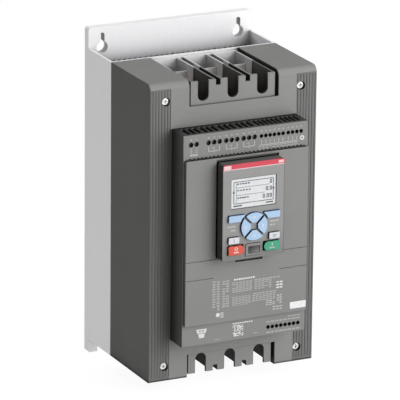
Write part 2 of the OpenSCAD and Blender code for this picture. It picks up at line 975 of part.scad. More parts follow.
module control_housing() {
    post_d = 7;
    post_inset = 6;
    inner_x = control_w / 2 - control_wall;
    front = control_front - control_wall;
    slot_depth = [cover_front + slot_back_set, control_front - slot_front_set];
    window_side = 10;
    window_end = 14;
    color([0.33, 0.33, 0.325])
        difference() {
            union() {
                difference() {
                    block(
                        mirrored(control_w / 2),
                        [cover_front, control_front],
                        [control_bottom, control_high]
                    );
                    block(
                        mirrored(inner_x),
                        [cover_front - over, front],
                        [control_bottom + control_wall, control_high - control_wall]
                    );
                }
                forward([control_board_depth + board_t, front + eps])
                    for (side = [-1, 1], height = [panel_low + post_inset, panel_high - post_inset])
                        translate([side * (inner_x - post_inset), height])
                            circle(d = post_d);
            }
            block(
                mirrored(panel_w / 2 - window_side),
                [front - over, control_front + over],
                [panel_low + window_end, panel_high - window_end]
            );
            forward([front - over, control_front + over]) {
                at_relay_poles()
                    circle(d = relay_hole_d);
                at_signal_poles()
                    circle(d = signal_hole_d);
            }
            upward([control_high - control_wall - over, control_high + over]) {
                for (i = [0:3], pole = [0:relay_slots - 1])
                    rectangle(around(relay_first[i] + pole * wide_pitch, wire_slot_w), slot_depth);
                for (i = [0:1], pole = [0:signal_poles[i] - 1])
                    rectangle(around(signal_first[i] + pole * narrow_pitch, signal_slot_w), slot_depth);
            }
        }
}

module control_board() {
    edge = 1;
    inner_x = control_w / 2 - control_wall - edge;
    height = [control_bottom + control_wall + edge, control_high - control_wall - edge];
    front = control_board_depth + board_t;
    chip = 13;
    chip_t = 2;
    chip_pitch = 37;
    chip_drop = 40;
    link_w = 38;
    link_h = 8;
    link_t = 12;
    color([0.10, 0.32, 0.20]) {
        block(mirrored(inner_x), [control_board_depth, front], height);
        for (i = [-1, 0, 1])
            block(around(i * chip_pitch, chip), [front, front + chip_t], around(body_mid - chip_drop, chip));
        block(mirrored(link_w / 2), [cover_front - link_t, control_board_depth], around(body_mid, link_h));
    }
}

// Front panel
module panel_outline() {
    corner_r = 1.5;
    round_rectangle(mirrored(panel_w / 2), [panel_low, panel_high], corner_r);
}

module front_panel() {
    seat_gap = 0.5;
    seat_above = 2;
    finger_x = 2.7;
    finger_w = 33;
    finger_h = 8;
    link_w = 26;
    link_h = 20;
    side_line_l = 33;
    vent_margin = 4;
    vent_front = 0.8;
    vent_t = panel_t - vent_front;
    vent_floor = 0.5;
    vent_h = keypad_head - seat_above - vent_floor;
    vent_count = floor((panel_w - 2 * vent_margin) / vent_pitch);
    vent_first = -(vent_count - 1) / 2 * vent_pitch;
    joint_line_t = 0.6;
    line_depth = [panel_front - joint_line_t, panel_front + over];
    side_line = panel_low + side_line_rise;
    color([0.36, 0.36, 0.355])
        difference() {
            forward([control_front, panel_front])
                panel_outline();
            block(
                mirrored(keypad_w / 2 + seat_gap),
                [keypad_back_depth, panel_front + over],
                [keypad_low - seat_gap, keypad_high + seat_above]
            );
            block(
                around(finger_x, finger_w),
                [keypad_back_depth, panel_front + over],
                [keypad_low - finger_h, keypad_low]
            );
            block(
                mirrored(link_w / 2),
                [control_front - over, panel_front],
                around(keypad_low + keypad_h / 2, link_h)
            );
            block(
                mirrored(panel_w / 2 + over),
                line_depth,
                around(panel_low + joint_line_rise, joint_line_w)
            );
            for (side = [-1, 1])
                block(
                    around(side * (panel_w / 2 - side_line_l / 2), side_line_l + eps),
                    line_depth,
                    around(side_line, joint_line_w)
                );
            for (i = [0:vent_count - 1])
                block(
                    around(vent_first + i * vent_pitch, vent_w),
                    [control_front - eps, control_front + vent_t],
                    [panel_high - vent_h, panel_high + over]
                );
        }
}

// Keypad
function at_keypad(rise) = keypad_low + rise;
soft_rise = [43.5, 51];
small_rise = [19.6, 26.6];
large_rise = [6.7, 17];
key_outer = 30.6;
soft_inner = 11.4;
small_inner = 18;
large_inner = 12;
key_r = 1.2;
// Soft keys lose their inner corner to the arrow pad, so the flange starts further out
soft_flange_set = 5.5;
port_r = 2;
band_t = 1;
// Ledge in the keypad's front that the display's window lies on
window_step = 0.8;
window_back = keypad_front - keypad_wall / 2;

module soft_key_outline(side) {
    difference() {
        round_rectangle(
            side < 0 ? [-key_outer, -soft_inner] : [soft_inner, key_outer],
            [at_keypad(soft_rise[0]), at_keypad(soft_rise[1])],
            key_r
        );
        translate([0, nav_height])
            circle(d = nav_d + 2 * nav_gap);
    }
}

module small_key_outline(side) {
    round_rectangle(
        side < 0 ? [-key_outer, -small_inner] : [small_inner, key_outer],
        [at_keypad(small_rise[0]), at_keypad(small_rise[1])],
        key_r
    );
}

module large_key_outline(side) {
    height = [at_keypad(large_rise[0]), at_keypad(large_rise[1])];
    end_r = (height[1] - height[0]) / 2;
    inner = large_inner + end_r;
    round_rectangle(
        side < 0 ? [-key_outer, -inner] : [inner, key_outer],
        height,
        key_r
    );
    translate([side * inner, (height[0] + height[1]) / 2])
        circle(end_r);
    rectangle(around(side * (inner + key_r), 2 * key_r), height);
}

// One quarter of the arrow pad, drawn upwards, grown by a margin on every side and turned
module nav_key_outline(turn, margin) {
    reach = nav_d;
    start = nav_gap / sqrt(2) - margin * sqrt(2);
    translate([0, nav_height])
        rotate(-turn)
            intersection() {
                difference() {
                    circle(d = nav_d + 2 * margin);
                    square(nav_core - 2 * margin, center = true);
                }
                polygon([[0, start], [-reach, reach + start], [reach, reach + start]]);
            }
}

// A cap that stands through the keypad's front and the square flange that holds it in
module key_cap() {
    forward([keypad_front - keypad_wall - eps, keypad_front + key_proud])
        children();
}

module key_flange_box(x, height) {
    inner = keypad_front - keypad_wall;
    block(
        [x[0] - key_flange, x[1] + key_flange],
        [inner - key_flange_t, inner],
        [height[0] - key_flange, height[1] + key_flange]
    );
}

module soft_key(side) {
    inner = soft_inner + soft_flange_set;
    color([0.73, 0.84, 0.95]) {
        key_cap()
            soft_key_outline(side);
        key_flange_box(
            side < 0 ? [-key_outer, -inner] : [inner, key_outer],
            [at_keypad(soft_rise[0]), at_keypad(soft_rise[1])]
        );
    }
}

module small_key(side) {
    color([0.83, 0.83, 0.86]) {
        key_cap()
            small_key_outline(side);
        key_flange_box(
            side < 0 ? [-key_outer, -small_inner] : [small_inner, key_outer],
            [at_keypad(small_rise[0]), at_keypad(small_rise[1])]
        );
    }
}

module large_key(side, tint) {
    color(tint) {
        key_cap()
            large_key_outline(side);
        key_flange_box(
            side < 0 ? [-key_outer, -large_inner] : [large_inner, key_outer],
            [at_keypad(large_rise[0]), at_keypad(large_rise[1])]
        );
    }
}

module nav_key(turn) {
    inner = keypad_front - keypad_wall;
    color([0.73, 0.84, 0.95]) {
        key_cap()
            nav_key_outline(turn, 0);
        forward([inner - key_flange_t, inner])
            nav_key_outline(turn, key_gap + nav_flange);
    }
}

// Outline of the port cover, square at the lower corners, where its barrel turns
module port_outline(margin) {
    x = mirrored(port_w / 2 + margin);
    low = at_keypad(port_rise) - margin;
    round_rectangle(x, [low, at_keypad(port_rise + port_h) + margin], port_r + margin);
    rectangle(x, [low, low + 2 * (port_r + margin)]);
}

module keypad_case() {
    inner_x = keypad_w / 2 - keypad_wall;
    inner = keypad_front - keypad_wall;
    display_mid = at_keypad(display_rise);
    color([0.42, 0.42, 0.415])
        difference() {
            forward([keypad_split, keypad_front])
                round_rectangle(mirrored(keypad_w / 2), [keypad_low, keypad_high], keypad_r);
            block(
                mirrored(inner_x),
                [keypad_split - over, inner],
                [keypad_low + keypad_wall, keypad_high - keypad_wall]
            );
            block(
                mirrored(display_w / 2 - window_step),
                [inner - over, keypad_front + over],
                around(display_mid, display_h - 2 * window_step)
            );
            block(
                mirrored(display_w / 2),
                [window_back, keypad_front + over],
                around(display_mid, display_h)
            );
            block(
                mirrored(keypad_w / 2 + over),
                [keypad_front - band_t, keypad_front + over],
                [keypad_high - band_h, keypad_high + over]
            );
            forward([inner - over, keypad_front + over]) {
                for (turn = [0, 90, 180, 270])
                    nav_key_outline(turn, key_gap);
                port_outline(key_gap);
                for (side = [-1, 1]) {
                    rectangle(
                        side < 0 ? [-key_outer - key_gap, -small_inner + key_gap]
                            : [small_inner - key_gap, key_outer + key_gap],
                        [at_keypad(small_rise[0]) - key_gap, at_keypad(small_rise[1]) + key_gap]
                    );
                    rectangle(
                        side < 0 ? [-key_outer - key_gap, -large_inner + key_gap]
                            : [large_inner - key_gap, key_outer + key_gap],
                        [at_keypad(large_rise[0]) - key_gap, at_keypad(large_rise[1]) + key_gap]
                    );
                    difference() {
                        rectangle(
                            side < 0 ? [-key_outer - key_gap, -soft_inner + key_gap]
                                : [soft_inner - key_gap, key_outer + key_gap],
                            [at_keypad(soft_rise[0]) - key_gap, at_keypad(soft_rise[1]) + key_gap]
                        );
                        translate([0, nav_height])
                            circle(d = nav_d + 2 * nav_gap - 2 * key_gap);
                    }
                }
            }
        }
}

module keypad_band() {
    proud = 0.2;
    color([0.85, 0.30, 0.33])
        forward([keypad_front - band_t, keypad_front + proud])
            difference() {
                round_rectangle(
                    mirrored(keypad_w / 2),
                    [keypad_high - band_h - keypad_r, keypad_high],
                    keypad_r
                );
                rectangle(mirrored(half_w), [keypad_low, keypad_high - band_h]);
            }
}

module keypad_back() {
    wall = 2;
    floor_t = 2;
    draft = 0.5;
    plug_w = 12;
    plug_h = 8;
    plug_t = 7;
    outer_x = keypad_w / 2 - draft;
    height = [keypad_low + draft, keypad_high - draft];
    post_d = 5;
    post_inset = 8;
    color([0.16, 0.16, 0.16]) {
        difference() {
            forward([keypad_back_depth, keypad_split])
                round_rectangle(mirrored(outer_x), height, keypad_r);
            block(
                mirrored(outer_x - wall),
                [keypad_back_depth + floor_t, keypad_split + over],
                [height[0] + wall, height[1] - wall]
            );
        }
        block(
            mirrored(plug_w / 2),
            [keypad_back_depth - plug_t, keypad_back_depth + floor_t],
            around(keypad_low + keypad_h / 2, plug_h)
        );
        forward([keypad_back_depth + floor_t - eps, keypad_board_depth])
            for (side = [-1, 1], rise = [post_inset, keypad_h - post_inset])
                translate([side * (outer_x - post_inset), keypad_low + rise])
                    circle(d = post_d);
    }
}

module keypad_board() {
    edge = keypad_wall + fit;
    front = keypad_board_depth + board_t;
    dome_d = 5;
    nav_dome_inset = 5.5;
    color([0.10, 0.32, 0.20]) {
        block(
            mirrored(keypad_w / 2 - edge),
            [keypad_board_depth, front],
            [keypad_low + edge, keypad_high - edge]
        );
        forward([front - eps, front + dome_t]) {
            for (side = [-1, 1]) {
                translate([
                    side * (key_outer + soft_inner + soft_flange_set) / 2,
                    at_keypad((soft_rise[0] + soft_rise[1]) / 2)
                ])
                    circle(d = dome_d);
                translate([
                    side * (key_outer + small_inner) / 2,
                    at_keypad((small_rise[0] + small_rise[1]) / 2)
                ])
                    circle(d = dome_d);
                translate([
                    side * (key_outer + large_inner) / 2,
                    at_keypad((large_rise[0] + large_rise[1]) / 2)
                ])
                    circle(d = dome_d);
            }
            translate([0, nav_height])
                for (turn = [0, 90, 180, 270])
                    rotate(turn)
                        translate([0, nav_d / 2 - nav_dome_inset])
                            circle(d = dome_d);
        }
    }
}

module display() {
    face_set = window_step + fit;
    display_mid = at_keypad(display_rise);
    color([0.90, 0.92, 0.93]) {
        block(
            mirrored(display_w / 2),
            [keypad_board_depth + board_t, keypad_front - keypad_wall],
            around(display_mid, display_h)
        );
        block(
            mirrored(display_w / 2 - face_set),
            [keypad_board_depth + board_t, window_back],
            around(display_mid, display_h - 2 * face_set)
        );
    }
}

module display_window() {
    edge_gap = 0.1;
    color([0.90, 0.93, 0.95, 0.4])
        block(
            mirrored(display_w / 2 - edge_gap),
            [window_back, keypad_front],
            around(at_keypad(display_rise), display_h - 2 * edge_gap)
        );
}

module service_port() {
    socket_w = 8;
    socket_h = 4;
    socket_t = 3.4;
    shell_t = 0.8;
    floor_t = 1;
    front = keypad_board_depth + board_t;
    middle = at_keypad(port_rise + port_h / 2);
    color([0.75, 0.75, 0.76])
        difference() {
            block(mirrored(socket_w / 2), [front, front + socket_t], around(middle, socket_h));
            block(
                mirrored(socket_w / 2 - shell_t),
                [front + floor_t, front + socket_t + over],
                around(middle, socket_h - 2 * shell_t)
            );
        }
}

module port_cover() {
    recess_r = 1.2;
    recess_t = 0.9;
    recess_left = 3;
    recess_right = 1.2;
    recess_low = 2.4;
    recess_high = 3;
    front = keypad_front + port_t / 2;
    low = at_keypad(port_rise);
    recess_x = [recess_left - port_w / 2, port_w / 2 - recess_right];
    recess_height = [low + recess_low, low + port_h - recess_high];
    color([0.40, 0.40, 0.395])
        difference() {
            intersection() {
                forward([front - port_t, front])
                    port_outline(0);
                across(mirrored(port_w / 2)) {
                    rectangle([front - port_t, front], [low + port_t / 2, low + port_h]);
                    translate([front - port_t / 2, low + port_t / 2])
                        circle(d = port_t);
                }
            }
            forward([front - recess_t, front + over])
                round_rectangle(recess_x, recess_height, recess_r);
        }
}

rear_frame();
heat_sink();
sink_fins();
fan_tray();
fan_frame(-1);  // fan_frame_1
fan_frame(1);  // fan_frame_2
fan_rotor(-1);  // fan_rotor_1
fan_rotor(1);  // fan_rotor_2
thyristor_module(-1);  // thyristor_module_1
thyristor_module(0);  // thyristor_module_2
thyristor_module(1);  // thyristor_module_3
busbar(-1);  // line_busbar_1
busbar(0);  // line_busbar_2
busbar(1);  // line_busbar_3
load_end() busbar(-1);  // load_busbar_1
load_end() busbar(0);  // load_busbar_2
load_end() busbar(1);  // load_busbar_3
bypass_contactor(-1);  // bypass_contactor_1
bypass_contactor(0);  // bypass_contactor_2
bypass_contactor(1);  // bypass_contactor_3
current_transformer(-1);  // current_transformer_1
current_transformer(0);  // current_transformer_2
current_transformer(1);  // current_transformer_3
driver_board();
terminal_block();  // line_terminal_block
load_end() terminal_block();  // load_terminal_block
shroud();  // line_shroud
load_end() shroud();  // load_shroud
power_cover();
cover_screws();
control_housing();
control_board();
relay_plug(0);  // relay_plug_1
relay_plug(1);  // relay_plug_2
relay_plug(2);  // relay_plug_3
relay_plug(3);  // relay_plug_4
signal_plug(0);  // signal_plug_1
signal_plug(1);  // signal_plug_2
signal_plug(2);  // signal_plug_3
signal_plug(3);  // signal_plug_4
plug_screws();
front_panel();
keypad_back();
keypad_case();
keypad_band();
keypad_board();
display();
display_window();
service_port();
port_cover();
soft_key(-1);  // soft_key_left
soft_key(1);  // soft_key_right
nav_key(0);  // up_key
nav_key(90);  // right_key
nav_key(180);  // down_key
nav_key(270);  // left_key
small_key(-1);  // info_key
small_key(1);  // mode_key
large_key(-1, [0.85, 0.30, 0.25]);  // stop_key
large_key(1, [0.20, 0.60, 0.42]);  // start_key
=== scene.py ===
import json
import math

import bmesh
import bpy
from mathutils import Matrix, Vector


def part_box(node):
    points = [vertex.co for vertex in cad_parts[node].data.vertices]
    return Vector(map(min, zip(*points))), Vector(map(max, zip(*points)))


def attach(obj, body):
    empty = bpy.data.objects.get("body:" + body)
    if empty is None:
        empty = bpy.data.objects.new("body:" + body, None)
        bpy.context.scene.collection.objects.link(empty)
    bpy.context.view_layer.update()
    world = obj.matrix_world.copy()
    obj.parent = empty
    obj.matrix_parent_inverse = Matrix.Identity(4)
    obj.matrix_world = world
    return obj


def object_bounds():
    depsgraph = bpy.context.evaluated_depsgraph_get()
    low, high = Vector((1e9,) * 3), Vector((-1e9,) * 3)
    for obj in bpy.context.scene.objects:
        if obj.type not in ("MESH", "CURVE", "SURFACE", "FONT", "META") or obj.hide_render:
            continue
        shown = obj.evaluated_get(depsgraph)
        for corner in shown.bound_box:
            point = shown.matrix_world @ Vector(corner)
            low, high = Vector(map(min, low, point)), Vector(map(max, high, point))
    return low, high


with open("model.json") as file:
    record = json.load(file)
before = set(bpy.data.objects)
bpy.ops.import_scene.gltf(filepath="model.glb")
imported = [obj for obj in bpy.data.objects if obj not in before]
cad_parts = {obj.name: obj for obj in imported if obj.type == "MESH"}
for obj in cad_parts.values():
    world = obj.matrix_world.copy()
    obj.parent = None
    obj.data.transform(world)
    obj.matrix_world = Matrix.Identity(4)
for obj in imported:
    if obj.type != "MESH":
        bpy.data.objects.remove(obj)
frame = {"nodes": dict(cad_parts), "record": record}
solid_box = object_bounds()
nodes = frame["nodes"]
scene = bpy.context.scene
scene.view_settings.view_transform = "Standard"

MM = 0.001
PLATE_HALF_HEIGHT = -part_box("rear_frame")[0].z
COVER_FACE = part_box("power_cover")[0].y
COVER_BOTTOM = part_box("power_cover")[0].z
HOUSING_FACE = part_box("control_housing")[0].y
HOUSING_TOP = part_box("control_housing")[1].z
PANEL_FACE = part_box("front_panel")[0].y
PANEL_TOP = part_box("front_panel")[1].z
KEYPAD_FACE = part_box("keypad_case")[0].y
BAND_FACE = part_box("keypad_band")[0].y
DISPLAY_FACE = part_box("display")[0].y
KEY_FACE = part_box("stop_key")[0].y
PORT_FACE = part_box("port_cover")[0].y
FLOOR_CLEARANCE = 0.6 * MM
FLOOR_LEVEL = solid_box[0].z - FLOOR_CLEARANCE


def height(mm):
    """Height above the plate's lower edge, in millimetres, as the frame's z."""
    return mm * MM - PLATE_HALF_HEIGHT


def extent(name):
    """Ranges of x and of height that a node fills, in millimetres."""
    low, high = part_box(name)
    return (
        (low.x / MM, high.x / MM),
        ((low.z + PLATE_HALF_HEIGHT) / MM, (high.z + PLATE_HALF_HEIGHT) / MM),
    )


def linear(red, green, blue):
    """A colour read off a screen, 0 to 255, as a linear colour."""
    out = []
    for value in (red, green, blue):
        share = value / 255
        out.append(share / 12.92 if share <= 0.04045 else ((share + 0.055) / 1.055) ** 2.4)
    return (*out, 1.0)


# Camera


def place_camera():
    yaw, pitch, roll = math.radians(-25.84), math.radians(17.46), math.radians(0.58)
    aim = Vector((0.0, -0.090, 0.0))
    distance = 4.630
    offset = (-0.0004, 0.0014)
    focal_pixels = 4193.9
    frame_pixels = 400
    back = Vector((
        math.sin(yaw) * math.cos(pitch), -math.cos(yaw) * math.cos(pitch), math.sin(pitch)
    ))
    level = Vector((0, 0, 1)).cross(back).normalized()
    upright = back.cross(level)
    right = math.cos(roll) * level + math.sin(roll) * upright
    up = -math.sin(roll) * level + math.cos(roll) * upright
    data = bpy.data.cameras.new("camera")
    data.sensor_width = 36
    data.lens = focal_pixels / frame_pixels * data.sensor_width
    data.clip_start = 0.1
    data.clip_end = 50
    camera = bpy.data.objects.new("camera", data)
    scene.collection.objects.link(camera)
    spot = aim + back * distance + right * offset[0] + up * offset[1]
    turn = Matrix((right, up, back)).transposed().to_4x4()
    camera.matrix_world = Matrix.Translation(spot) @ turn
    scene.camera = camera


# Finishes

# How open a place is where its painted shade is darkest, and where the painted shade stops
SIDE_SHADE = (0.6, 1.0)
FRONT_SHADE = (0.12, 0.65)
METAL_SHADE = (0.3, 0.78)
MODULE_SHADE = (0.64, 1.06)
CHAMBER_SHADE = (0.15, 0.75)
# What lies within this of a face belongs to the face
LAND_SKIN = 0.2 * MM
# A face's colour shows on what lies within this of the face
FACE_SKIN = 0.4 * MM
# Metal this near the floor, such as the plate's feet, stands in the open and gets no painted shade
FOOT_RISE = 24 * MM
PLASTIC_SHINE = 0.12


class Finish:
    """One node material, with short calls for the nodes that these finishes share."""

    def __init__(self, name):
        self.material = bpy.data.materials.new(name)
        self.material.use_nodes = True
        self.tree = self.material.node_tree
        self.tree.nodes.clear()
        self.output = self.add("ShaderNodeOutputMaterial")
        self.surface = self.add("ShaderNodeBsdfPrincipled")
        self.link(self.surface.outputs["BSDF"], self.output.inputs["Surface"])
        self.place = self.add("ShaderNodeTexCoord").outputs["Object"]

    def add(self, kind, **settings):
        node = self.tree.nodes.new(kind)
        for key, value in settings.items():
            setattr(node, key, value)
        return node

    def link(self, source, target):
        self.tree.links.new(source, target)

    def give(self, socket, value):
        """Links a value to a socket, or sets it there where it is a constant."""
        if isinstance(value, bpy.types.NodeSocket):
            self.link(value, socket)
        else:
            socket.default_value = value

    def math(self, operation, first, second=None):
        node = self.add("ShaderNodeMath", operation=operation)
        self.give(node.inputs[0], first)
        if second is not None:
            self.give(node.inputs[1], second)
        return node.outputs["Value"]

    def stretched(self, x, y, z):
        mapping = self.add("ShaderNodeMapping")
        mapping.inputs["Scale"].default_value = (x, y, z)
        self.link(self.place, mapping.inputs["Vector"])
        return mapping.outputs["Vector"]

    def noise(self, scale, detail=2.0, place=None):
        node = self.add("ShaderNodeTexNoise")
        node.inputs["Scale"].default_value = scale
        node.inputs["Detail"].default_value = detail
        self.link(place or self.place, node.inputs["Vector"])
        return node.outputs["Fac"]

    def between(self, value, low, high, start=0.3, end=0.7):
        """A value that runs from start to end, as one that runs from low to high."""
        node = self.add("ShaderNodeMapRange")
        node.inputs["From Min"].default_value = start
        node.inputs["From Max"].default_value = end
        node.inputs["To Min"].default_value = low
        node.inputs["To Max"].default_value = high
        self.link(value, node.inputs["Value"])
        return node.outputs["Result"]

    def mixed(self, share, first, second, blend="MIX"):
        node = self.add("ShaderNodeMix", data_type="RGBA", blend_type=blend)
        for key, value in (("Factor", share), ("A", first), ("B", second)):
            self.give(node.inputs[key], value)
        return node.outputs["Result"]

    def axis(self, name, vector=None):
        node = self.add("ShaderNodeSeparateXYZ")
        self.link(vector or self.place, node.inputs["Vector"])
        return node.outputs[name]

    def flat_normal(self):
        return self.add("ShaderNodeNewGeometry").outputs["True Normal"]

    def below(self, value, limit):
        return self.math("LESS_THAN", value, limit)

    def above(self, value, limit):
        return self.math("GREATER_THAN", value, limit)

    def within(self, value, low, high):
        return self.every(self.above(value, low), self.below(value, high))

    def near(self, value, level):
        distance = self.math("ABSOLUTE", self.math("SUBTRACT", value, level))
        return self.below(distance, LAND_SKIN)

    def every(self, first, *others):
        """1 where all the given shares are 1."""
        for share in others:
            first = self.math("MULTIPLY", first, share)
        return first

    def toned(self, colour, share, factor):
        """The colour, multiplied by a factor where the share is 1."""
        return self.mixed(1.0, colour, self.between(share, 1, factor, 0, 1), "MULTIPLY")

    def painted_hollow_shade(self, colour, reach, darkest, side=SIDE_SHADE, front=FRONT_SHADE, share=1.0):
        """The colour with painted shade: darker in hollows and inner corners, as far as the share
        goes.

        Sides and fronts each have their own pair of openness at which they are darkest and plain.
        """
        open_sky = self.add("ShaderNodeAmbientOcclusion", samples=8)
        open_sky.inputs["Distance"].default_value = reach
        facing = self.math("ABSOLUTE", self.axis("Y", self.flat_normal()))
        side_light = self.between(open_sky.outputs["AO"], darkest, 1, *side)
        front_light = self.between(open_sky.outputs["AO"], darkest, 1, *front)
        light = self.mixed(facing, side_light, front_light)
        return self.mixed(share, colour, light, "MULTIPLY")

    def soft_edge(self, radius):
        node = self.add("ShaderNodeBevel", samples=6)
        node.inputs["Radius"].default_value = radius
        return node.outputs["Normal"]

    def bump(self, value, strength, distance, normal):
        node = self.add("ShaderNodeBump")
        node.inputs["Strength"].default_value = strength
        node.inputs["Distance"].default_value = distance
        self.link(value, node.inputs["Height"])
        self.link(normal, node.inputs["Normal"])
        return node.outputs["Normal"]

    def set(self, **values):
        for key, value in values.items():
            self.give(self.surface.inputs[key.replace("_", " ")], value)
        return self.material


def shade(colour, factor):
    return (colour[0] * factor, colour[1] * factor, colour[2] * factor, 1.0)


def grained_plastic(
    name, colour, edge=0.7 * MM, reach=30 * MM, darkest=0.12,
    side=SIDE_SHADE, front=FRONT_SHADE, shaded=None, painted_light_tint=None,
):
    """Moulded plastic: a slow change of tone, an eroded fine grain and softly broken edges."""
    f = Finish(name)
    cloud = f.between(f.noise(scale=14, detail=3), 0, 1)
    tone = f.mixed(cloud, shade(colour, 0.94), shade(colour, 1.06))
    grain = f.between(f.noise(scale=1500), 0, 1, 0.35, 0.65)
    speck = f.mixed(grain, shade(colour, 0.93), tone)
    # The tint paints light or shade into the colour
    if painted_light_tint:
        speck = painted_light_tint(f, speck)
    roughness = f.between(f.noise(scale=320, detail=3), 0.54, 0.68)
    normal = f.bump(f.noise(scale=2600), 0.25, 0.12 * MM, f.soft_edge(edge))
    # Painted shade in hollows and inner corners, as far as the shaded share goes
    shown = f.painted_hollow_shade(speck, reach, darkest, side, front, shaded(f) if shaded else 1.0)
    return f.set(
        Base_Color=shown, Roughness=roughness, Normal=normal, Specular_IOR_Level=PLASTIC_SHINE
    )


def painted_strip_and_rim_shade(f, colour):
    """Painted shade on the two ribbed strips of the cover's front and on its lower rim, in a
    darker tone.
    """
    rim_height, rim_shade_tone = 2.6 * MM, 0.45
    strip_edge, strip_shade_tone = 75.2 * MM, 0.62
    rim = f.below(f.axis("Z"), COVER_BOTTOM + rim_height)
    colour = f.toned(colour, rim, rim_shade_tone)
    outside = f.above(f.math("ABSOLUTE", f.axis("X")), strip_edge)
    on_lands = f.below(f.axis("Y"), COVER_FACE + LAND_SKIN)
    return f.toned(colour, f.every(outside, on_lands), strip_shade_tone)


def painted_slot_shade(f, colour):
    """Painted shade in the lower shroud's cable slots, dark behind its front wall."""
    front_wall, slot_shade_tone = 3 * MM, 0.4
    inside = f.above(f.axis("Y"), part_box("load_shroud")[0].y + front_wall)
    return f.toned(colour, inside, slot_shade_tone)


def rear_chamber_shade_share(f):
    """Where shade is painted: 1 in the terminals' rear chambers, 0 on top edges and in front,
    where light falls in.
    """
    partition_reach, upward = 31.2 * MM, 0.9
    partition_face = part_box("line_terminal_block")[1].y - partition_reach
    behind = f.above(f.axis("Y"), partition_face + LAND_SKIN)
    not_on_top = f.below(f.axis("Z", f.flat_normal()), upward)
    return f.every(behind, not_on_top)


def painted_fin_gap_shade(f, colour):
    """Painted shade on the plate: dark stripes, one for each gap between the fins, to a little
    above them.
    """
    fin_pitch, fin_thick, rise, gap_shade_tone = 6.5 * MM, 1.7 * MM, 4 * MM, 0.15
    low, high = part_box("sink_fins")
    from_gap = f.math("PINGPONG", f.axis("X"), fin_pitch / 2)
    shade_stripes = f.every(
        f.below(f.axis("Z"), high.z + rise),
        f.near(f.axis("Y"), high.y),
        f.within(f.axis("X"), low.x, high.x),
        f.below(from_gap, (fin_pitch - fin_thick) / 2),
    )
    return f.toned(colour, shade_stripes, gap_shade_tone)


def painted_ledge_shade(f, colour):
    """Painted shade on the ledges with vents and wire slots, above the panel and the strip, in a
    darker tone.
    """
    for level, face, tone in ((PANEL_TOP, PANEL_FACE, 0.6), (HOUSING_TOP, HOUSING_FACE, 0.5)):
        behind = f.above(f.axis("Y"), face + LAND_SKIN)
        colour = f.toned(colour, f.every(f.near(f.axis("Z"), level), behind), tone)
    return colour


def rolled_metal(
    name, colour, rough=0.34, along=(1, 1, 0.05), edge=0.6 * MM, metallic=1.0,
    reach=20 * MM, painted_light_tint=None,
):
    """Plated sheet and section metal: faint rolling streaks and a satin shine."""
    f = Finish(name)
    darkest = 0.3
    streak = f.noise(scale=420, detail=3, place=f.stretched(*along))
    cloud = f.noise(scale=22)
    tone = f.mixed(f.between(streak, 0, 1), shade(colour, 0.95), colour)
    tone = f.mixed(f.between(cloud, 0, 1), shade(colour, 0.97), tone)
    # The tint paints shade into the colour
    if painted_light_tint:
        tone = painted_light_tint(f, tone)
    roughness = f.between(streak, rough - 0.04, rough + 0.07)
    normal = f.bump(streak, 0.06, 0.1 * MM, f.soft_edge(edge))
    # Painted shade in hollows and inner corners, kept off the metal near the floor
    above_foot = f.above(f.axis("Z"), FLOOR_LEVEL + FOOT_RISE)
    shown = f.painted_hollow_shade(tone, reach, darkest, METAL_SHADE, METAL_SHADE, above_foot)
    return f.set(Base_Color=shown, Metallic=metallic, Roughness=roughness, Normal=normal)


def lit_face_shaded_side_plastic(name, face, side, limit, edge=0.4 * MM, darkest=0.4, painted_light_tint=None):
    """A pale face with darker sides as painted shade: in front of the limit the face's colour
    shows.
    """
    f = Finish(name)
    reach = 4 * MM
    face_tone = f.mixed(f.between(f.noise(scale=60), 0, 1), shade(face, 0.96), face)
    shaded_side_tone = f.mixed(f.between(f.noise(scale=60), 0, 1), shade(side, 0.9), side)
    colour = f.mixed(f.below(f.axis("Y"), limit), shaded_side_tone, face_tone)
    # The tint paints light or shade into the colour
    if painted_light_tint:
        colour = painted_light_tint(f, colour)
    roughness = f.between(f.noise(scale=500), 0.4, 0.52)
    normal = f.bump(f.noise(scale=2400), 0.12, 0.1 * MM, f.soft_edge(edge))
    # Painted shade in hollows and inner corners
    shown = f.painted_hollow_shade(colour, reach, darkest)
    return f.set(
        Base_Color=shown, Roughness=roughness, Normal=normal, Specular_IOR_Level=PLASTIC_SHINE
    )


def circuit_board(name, colour):
    f = Finish(name)
    streaks = f.noise(scale=900, detail=1, place=f.stretched(1, 1, 0.2))
    tracks = f.between(streaks, 0, 1, 0.45, 0.55)
    tone = f.mixed(tracks, colour, shade(colour, 1.5))
    return f.set(Base_Color=tone, Roughness=f.between(f.noise(scale=80), 0.3, 0.5))


def clear_window(name):
    f = Finish(name)
    roughness = f.between(f.noise(scale=40), 0.06, 0.14)
    tone = f.mixed(f.noise(scale=30), linear(232, 238, 242), linear(246, 249, 250))
    return f.set(
        Base_Color=tone, Roughness=roughness, Alpha=0.06, Specular_IOR_Level=PLASTIC_SHINE
    )


def print_ink(name, colour):
    f = Finish(name)
    tone = f.mixed(f.between(f.noise(scale=700), 0, 1), shade(colour, 0.9), colour)
    roughness = f.between(f.noise(scale=300), 0.45, 0.65)
    return f.set(Base_Color=tone, Roughness=roughness, Specular_IOR_Level=PLASTIC_SHINE)


def speckled_print(name, dark, pale):
    """A field of fine print that carries nothing to read."""
    f = Finish(name)
    cells = f.add("ShaderNodeTexVoronoi", feature="F1", distance="CHEBYCHEV")
    cells.inputs["Scale"].default_value = 900
    f.link(f.place, cells.inputs["Vector"])
    split = f.add("ShaderNodeSeparateColor")
    f.link(cells.outputs["Color"], split.inputs["Color"])
    tone = f.mixed(f.between(split.outputs["Red"], 0, 1, 0.4, 0.6), dark, pale)
    return f.set(Base_Color=tone, Roughness=f.between(f.noise(scale=300), 0.45, 0.6))


COVER_GREY = linear(152, 152, 150)
MODULE_GREY = linear(148, 148, 146)
KEYPAD_GREY = linear(160, 160, 159)
# The keypad's sides, darker as painted shade
KEYPAD_SHADED_SIDE = linear(86, 84, 82)
PORT_GREY = linear(146, 145, 144)


